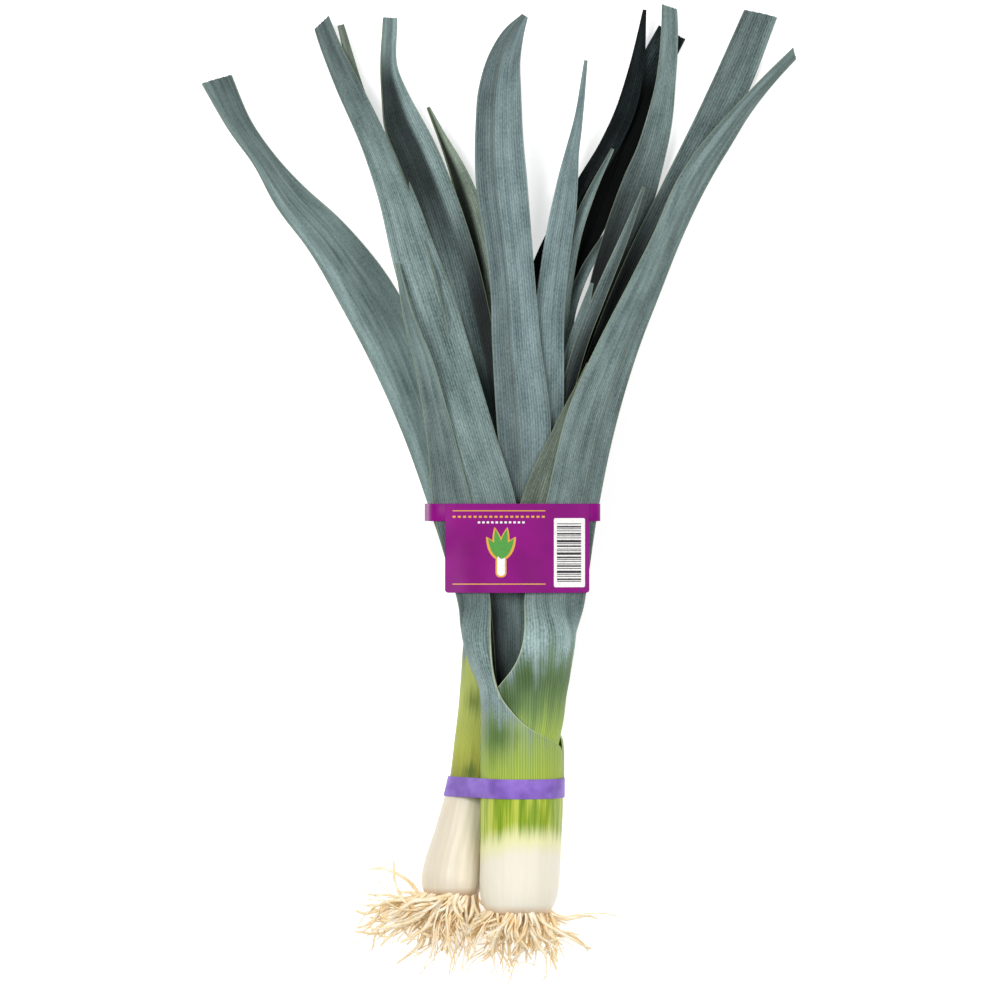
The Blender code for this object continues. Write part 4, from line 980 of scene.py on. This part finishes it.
# Tag
# A strip of printed purple film, closed on itself round the leaves with a sealed lap underneath,
# with a wider panel on top. The print is a small leek figure and rules in gold, green and white, and
# a white patch of plain bars.
STRAP_Y = (-10.5, -1.8)
PANEL_X = (-27.2, 44.2)
PANEL_Y = -46.0
FILM = 0.45
FILM_ROUND = 0.12
STRAP_POINTS = 220
STRAP_EASING = 14  # how often the strap's line is averaged with its neighbours
LEAF_GAP = 0.9  # how far the film stays off the leaves' points
CORNER = 1.6
TAG_ROOM_LOW = 0.05


def leaf_outline(y_low, y_high):
    """The taut outline round all the leaves between two places along Y: x and z in mm, from -X on."""
    found = []
    for obj in bpy.data.objects:
        if obj.name.startswith("scene_") and "_leaf_" in obj.name:
            places = vertex_places(obj.data) / MM
            found.append(places[(places[:, 1] > y_low) & (places[:, 1] < y_high)])
    points = np.concatenate(found)[:, [0, 2]]
    outline = points[convex_hull_2d([Vector(p) for p in points])]
    return np.roll(outline, -outline[:, 0].argmin(), axis=0)


def strap_loop():
    """The strap's inner line: taut round the leaves, evenly spaced, its corners a little eased."""
    outline = leaf_outline(STRAP_Y[0] - 3, STRAP_Y[1] + 3)
    closed = np.vstack([outline, outline[:1]])
    length = np.r_[0, np.cumsum(np.hypot(*np.diff(closed, axis=0).T))]
    at = np.linspace(0, length[-1], STRAP_POINTS, endpoint=False)
    loop = np.stack([np.interp(at, length, closed[:, k]) for k in (0, 1)], axis=1)
    for _ in range(STRAP_EASING):
        loop = 0.25 * np.roll(loop, 1, axis=0) + 0.5 * loop + 0.25 * np.roll(loop, -1, axis=0)
    ahead = np.roll(loop, -1, axis=0) - np.roll(loop, 1, axis=0)
    outward = np.stack([ahead[:, 1], -ahead[:, 0]], axis=1)
    loop += LEAF_GAP * outward / np.linalg.norm(outward, axis=1)[:, None]
    loop[:, 1] = np.maximum(loop[:, 1], TAG_ROOM_LOW + FILM)
    return loop


loop = strap_loop()
strap = loop_sheet([loop, loop], STRAP_Y, FILM, FILM_ROUND)

PANEL_GRID_X = np.linspace(PANEL_X[0] - 3, PANEL_X[1] + 3, 60)
PANEL_GRID_Y = np.linspace(PANEL_Y - 3, STRAP_Y[1] + 3, 27)
PANEL_EASED = (6.0, 7.0)  # mm over which the film evens out what lies under it, across and along
STEEPEST = 0.35  # the stiff film's slope past the leaves that carry it
UNDER_STRAP = 14.0  # mm over which the panel rises to the strap
CURLED = 0.8  # how far the panel's free end stands up
WRINKLE = 0.14


def over_leaves(y):
    """Height of a taut line over the leaves round one place along the bunch, across the panel."""
    outline = leaf_outline(y - 5, y + 5)
    left, right = outline[outline[:, 0].argmin()], outline[outline[:, 0].argmax()]
    chord = left[1] + (outline[:, 0] - left[0]) * (right[1] - left[1]) / (right[0] - left[0])
    upper = outline[outline[:, 1] >= chord]
    upper = upper[np.argsort(upper[:, 0])]
    step = np.diff(upper, axis=0)
    gentle = np.abs(step[:, 1]) < STEEPEST * step[:, 0] + 0.01
    upper = upper[np.r_[True, gentle] & np.r_[gentle, True]]
    past = np.maximum(upper[0, 0] - PANEL_GRID_X, 0) + np.maximum(PANEL_GRID_X - upper[-1, 0], 0)
    return np.interp(PANEL_GRID_X, upper[:, 0], upper[:, 1]) - 0.8 * STEEPEST * past


upper_strap = loop[loop[:, 1] > loop[:, 1].mean()]
upper_strap = upper_strap[np.argsort(upper_strap[:, 0])]
strap_line = np.interp(PANEL_GRID_X, upper_strap[:, 0], upper_strap[:, 1])
draped = np.array([over_leaves(y) for y in PANEL_GRID_Y])
draped = np.maximum(draped, softened(draped, PANEL_GRID_Y, PANEL_EASED[0]))
draped = softened(draped, PANEL_GRID_Y, PANEL_EASED[1])
draped = softened(draped.T, PANEL_GRID_X, PANEL_EASED[0]).T + LEAF_GAP
under_strap = eased((PANEL_GRID_Y - STRAP_Y[0] + UNDER_STRAP) / UNDER_STRAP)[:, None]
draped = draped + np.maximum(strap_line - draped, 0) * under_strap


def panel_height(x, y):
    """Height of the panel's underside at a place in mm, read between the points of its grid."""
    spots = []
    for value, grid in ((x, PANEL_GRID_X), (y, PANEL_GRID_Y)):
        at = (np.clip(value, grid[0], grid[-1]) - grid[0]) / (grid[1] - grid[0])
        first = np.minimum(at.astype(int), len(grid) - 2)
        spots += [first, at - first]
    a, s, b, t = spots
    flat = ((draped[b, a] * (1 - s) + draped[b, a + 1] * s) * (1 - t)
            + (draped[b + 1, a] * (1 - s) + draped[b + 1, a + 1] * s) * t)
    down = np.clip((STRAP_Y[0] - y) / (STRAP_Y[0] - PANEL_Y), 0, 1)
    return FILM * 0.9 + flat + CURLED * down**5 + WRINKLE * np.sin(0.33 * x + 1.1 * down) * down


def film_piece(outline_rows, lift, thickness):
    """A sheet on the panel: rows of (x, y) points, lifted off its underside and thickened."""
    rows = np.array(outline_rows, float)
    film, _, _ = grid_over(np.dstack([rows, panel_height(rows[..., 0], rows[..., 1]) + lift]))
    thicken(film, thickness, 1.0)
    face_outwards(45)
    return film


def rounded_rows(x0, x1, y0, y1, corner, columns, count):
    """Rows over a rectangle with rounded corners, from y0 up to y1."""
    rows = []
    for y in y0 + (y1 - y0) * (1 - np.cos(np.linspace(0, math.pi, count))) / 2:
        depth = min(y - y0, y1 - y)
        inset = corner - math.sqrt(max(0.0, corner**2 - (corner - min(depth, corner)) ** 2))
        rows.append([(x, y) for x in np.linspace(x0 + inset, x1 - inset, columns)])
    return rows


panel = film_piece(rounded_rows(*PANEL_X, PANEL_Y, STRAP_Y[1], CORNER, 90, 60), 0.0, FILM)
tag_piece = join_pieces([strap, panel])

# Printed polypropylene film: to the eye a deep even purple, smooth and a little glossy, with very
# low wrinkles from being handled.
mat, tree, shader = new_material("printed_film_purple", Roughness=0.42, IOR=1.49, Specular_IOR_Level=0.12)
mottled_coat(tree, shader, 16.667, 2.0, [(0.3, "#7D046E"), (0.7, "#8D077D")], 0.1, 0.001)
finish_piece(tag_piece, "scene_label_band", mat, "label_band")

INK = 0.06
INK_LIFT = FILM - 0.02
INK_STACK = 0.008  # shapes of one ink are lifted by this over each other where they may cross
INK_GRAIN = 1.111
PATCH = (26.7, 42.1, -43.2, -9.0)
BARS = (28.2, 40.2, -40.5, -11.6)
BAR_WIDTHS = (1, 2, 1, 1, 3, 1, 2, 1, 1, 1, 2, 3, 1, 1, 2, 1, 3, 1, 1, 2, 1, 1, 2, 1)
LEEK_X = 0.5
LEEK_Y = -29.0
LEEK_FAN = ((-32, 11.5), (-11, 14.5), (11, 14.5), (32, 11.5))  # each leaf's angle and length
RULE_X = (-23.5, 22.5)
RULES_Y = (-5.6, -41.9)
GOLD_DASHES_Y = -8.8
WHITE_DASHES_Y = -11.6


def leaf_rows(low_y, angle, length, width, columns=9, count=22):
    """Rows over a pointed leaf that grows from the figure's middle at an angle from +Y."""
    turn = math.radians(angle)
    up = np.array([math.sin(turn), math.cos(turn)])
    side = np.array([math.cos(turn), -math.sin(turn)])
    rows = []
    for t in np.linspace(0.0, 1.0, count):
        half = 0.5 * width * math.sin(math.pi * t**0.8) ** 0.85 + 0.02
        centre = np.array((LEEK_X, low_y)) + up * length * t
        rows.append([centre + side * half * s for s in np.linspace(-1, 1, columns)])
    return rows


def strip_rows(x0, x1, y0, y1, columns):
    """Two rows along a straight strip."""
    return [[(x, y) for x in np.linspace(x0, x1, columns)] for y in (y0, y1)]


# Printing ink: to the eye a flat, dense colour with the faintest grain.
def printed(name, code, shapes, lift):
    """Ink of one colour on the panel, each shape lying a hair over the film."""
    ink = join_pieces([film_piece(rows, lift + INK_STACK * (k % 6), INK) for k, rows in enumerate(shapes)])
    mat, tree, shader = new_material(f"printing_ink_{name}", Roughness=0.4, IOR=1.49, Specular_IOR_Level=0.3)
    place = add_node(tree, "TexCoord").outputs["Object"]
    grain = add_node(tree, "TexNoise", {"Vector": place, "Scale": 1 / (INK_GRAIN * MM)})
    shade = add_node(tree, "ValToRGB", {"Fac": grain}, stops=[(0.2, code), (0.5, code)])
    shade.color_ramp.elements[0].color = tuple(0.8 * c for c in srgb(code)[:3]) + (1.0,)
    tree.links.new(shade.outputs["Color"], shader.inputs["Base Color"])
    finish_piece(ink, f"scene_tag_ink_{name}", mat)


stem, stem_rim = (
    rounded_rows(LEEK_X - half, LEEK_X + half, LEEK_Y - low, LEEK_Y + 1.5, corner, 12, 20)
    for half, low, corner in ((1.9, 8.5, 1.6), (2.7, 9.3, 2.2)))
gold_dashes = [strip_rows(x, x + 1.5, GOLD_DASHES_Y, GOLD_DASHES_Y + 1.0, 4)
               for x in np.arange(*RULE_X, 2.6)]
white_dashes = [strip_rows(x, x + 1.2, WHITE_DASHES_Y, WHITE_DASHES_Y + 1.0, 4)
                for x in np.arange(-11, 12, 2.2)]
rules = [strip_rows(*RULE_X, y, y + 0.5, 60) for y in RULES_Y]
leaf_rims = [leaf_rows(LEEK_Y - 1, angle, length + 2.4, 5.4) for angle, length in LEEK_FAN]
leaves = [leaf_rows(LEEK_Y - 0.2, angle, length + 0.4, 3.8) for angle, length in LEEK_FAN]
bars, y = [], BARS[2]
gaps = [1 + (k * 5) % 3 * 0.5 for k in range(len(BAR_WIDTHS))]
unit = (BARS[3] - BARS[2]) / (sum(BAR_WIDTHS) + sum(gaps[:-1]))
for width, gap in zip(BAR_WIDTHS, gaps):
    bars.append(strip_rows(*BARS[:2], y, y + unit * width, 16))
    y += unit * (width + gap)
printed("gold", "#E2A63A", leaf_rims + [stem_rim] + rules + gold_dashes, INK_LIFT)
printed("green", "#4E9A3C", leaves, INK_LIFT + INK)
printed("white", "#F3F1EE", [rounded_rows(*PATCH, 0.8, 24, 30), stem] + white_dashes, INK_LIFT + INK)
printed("black", "#26222A", bars, INK_LIFT + 2 * INK)
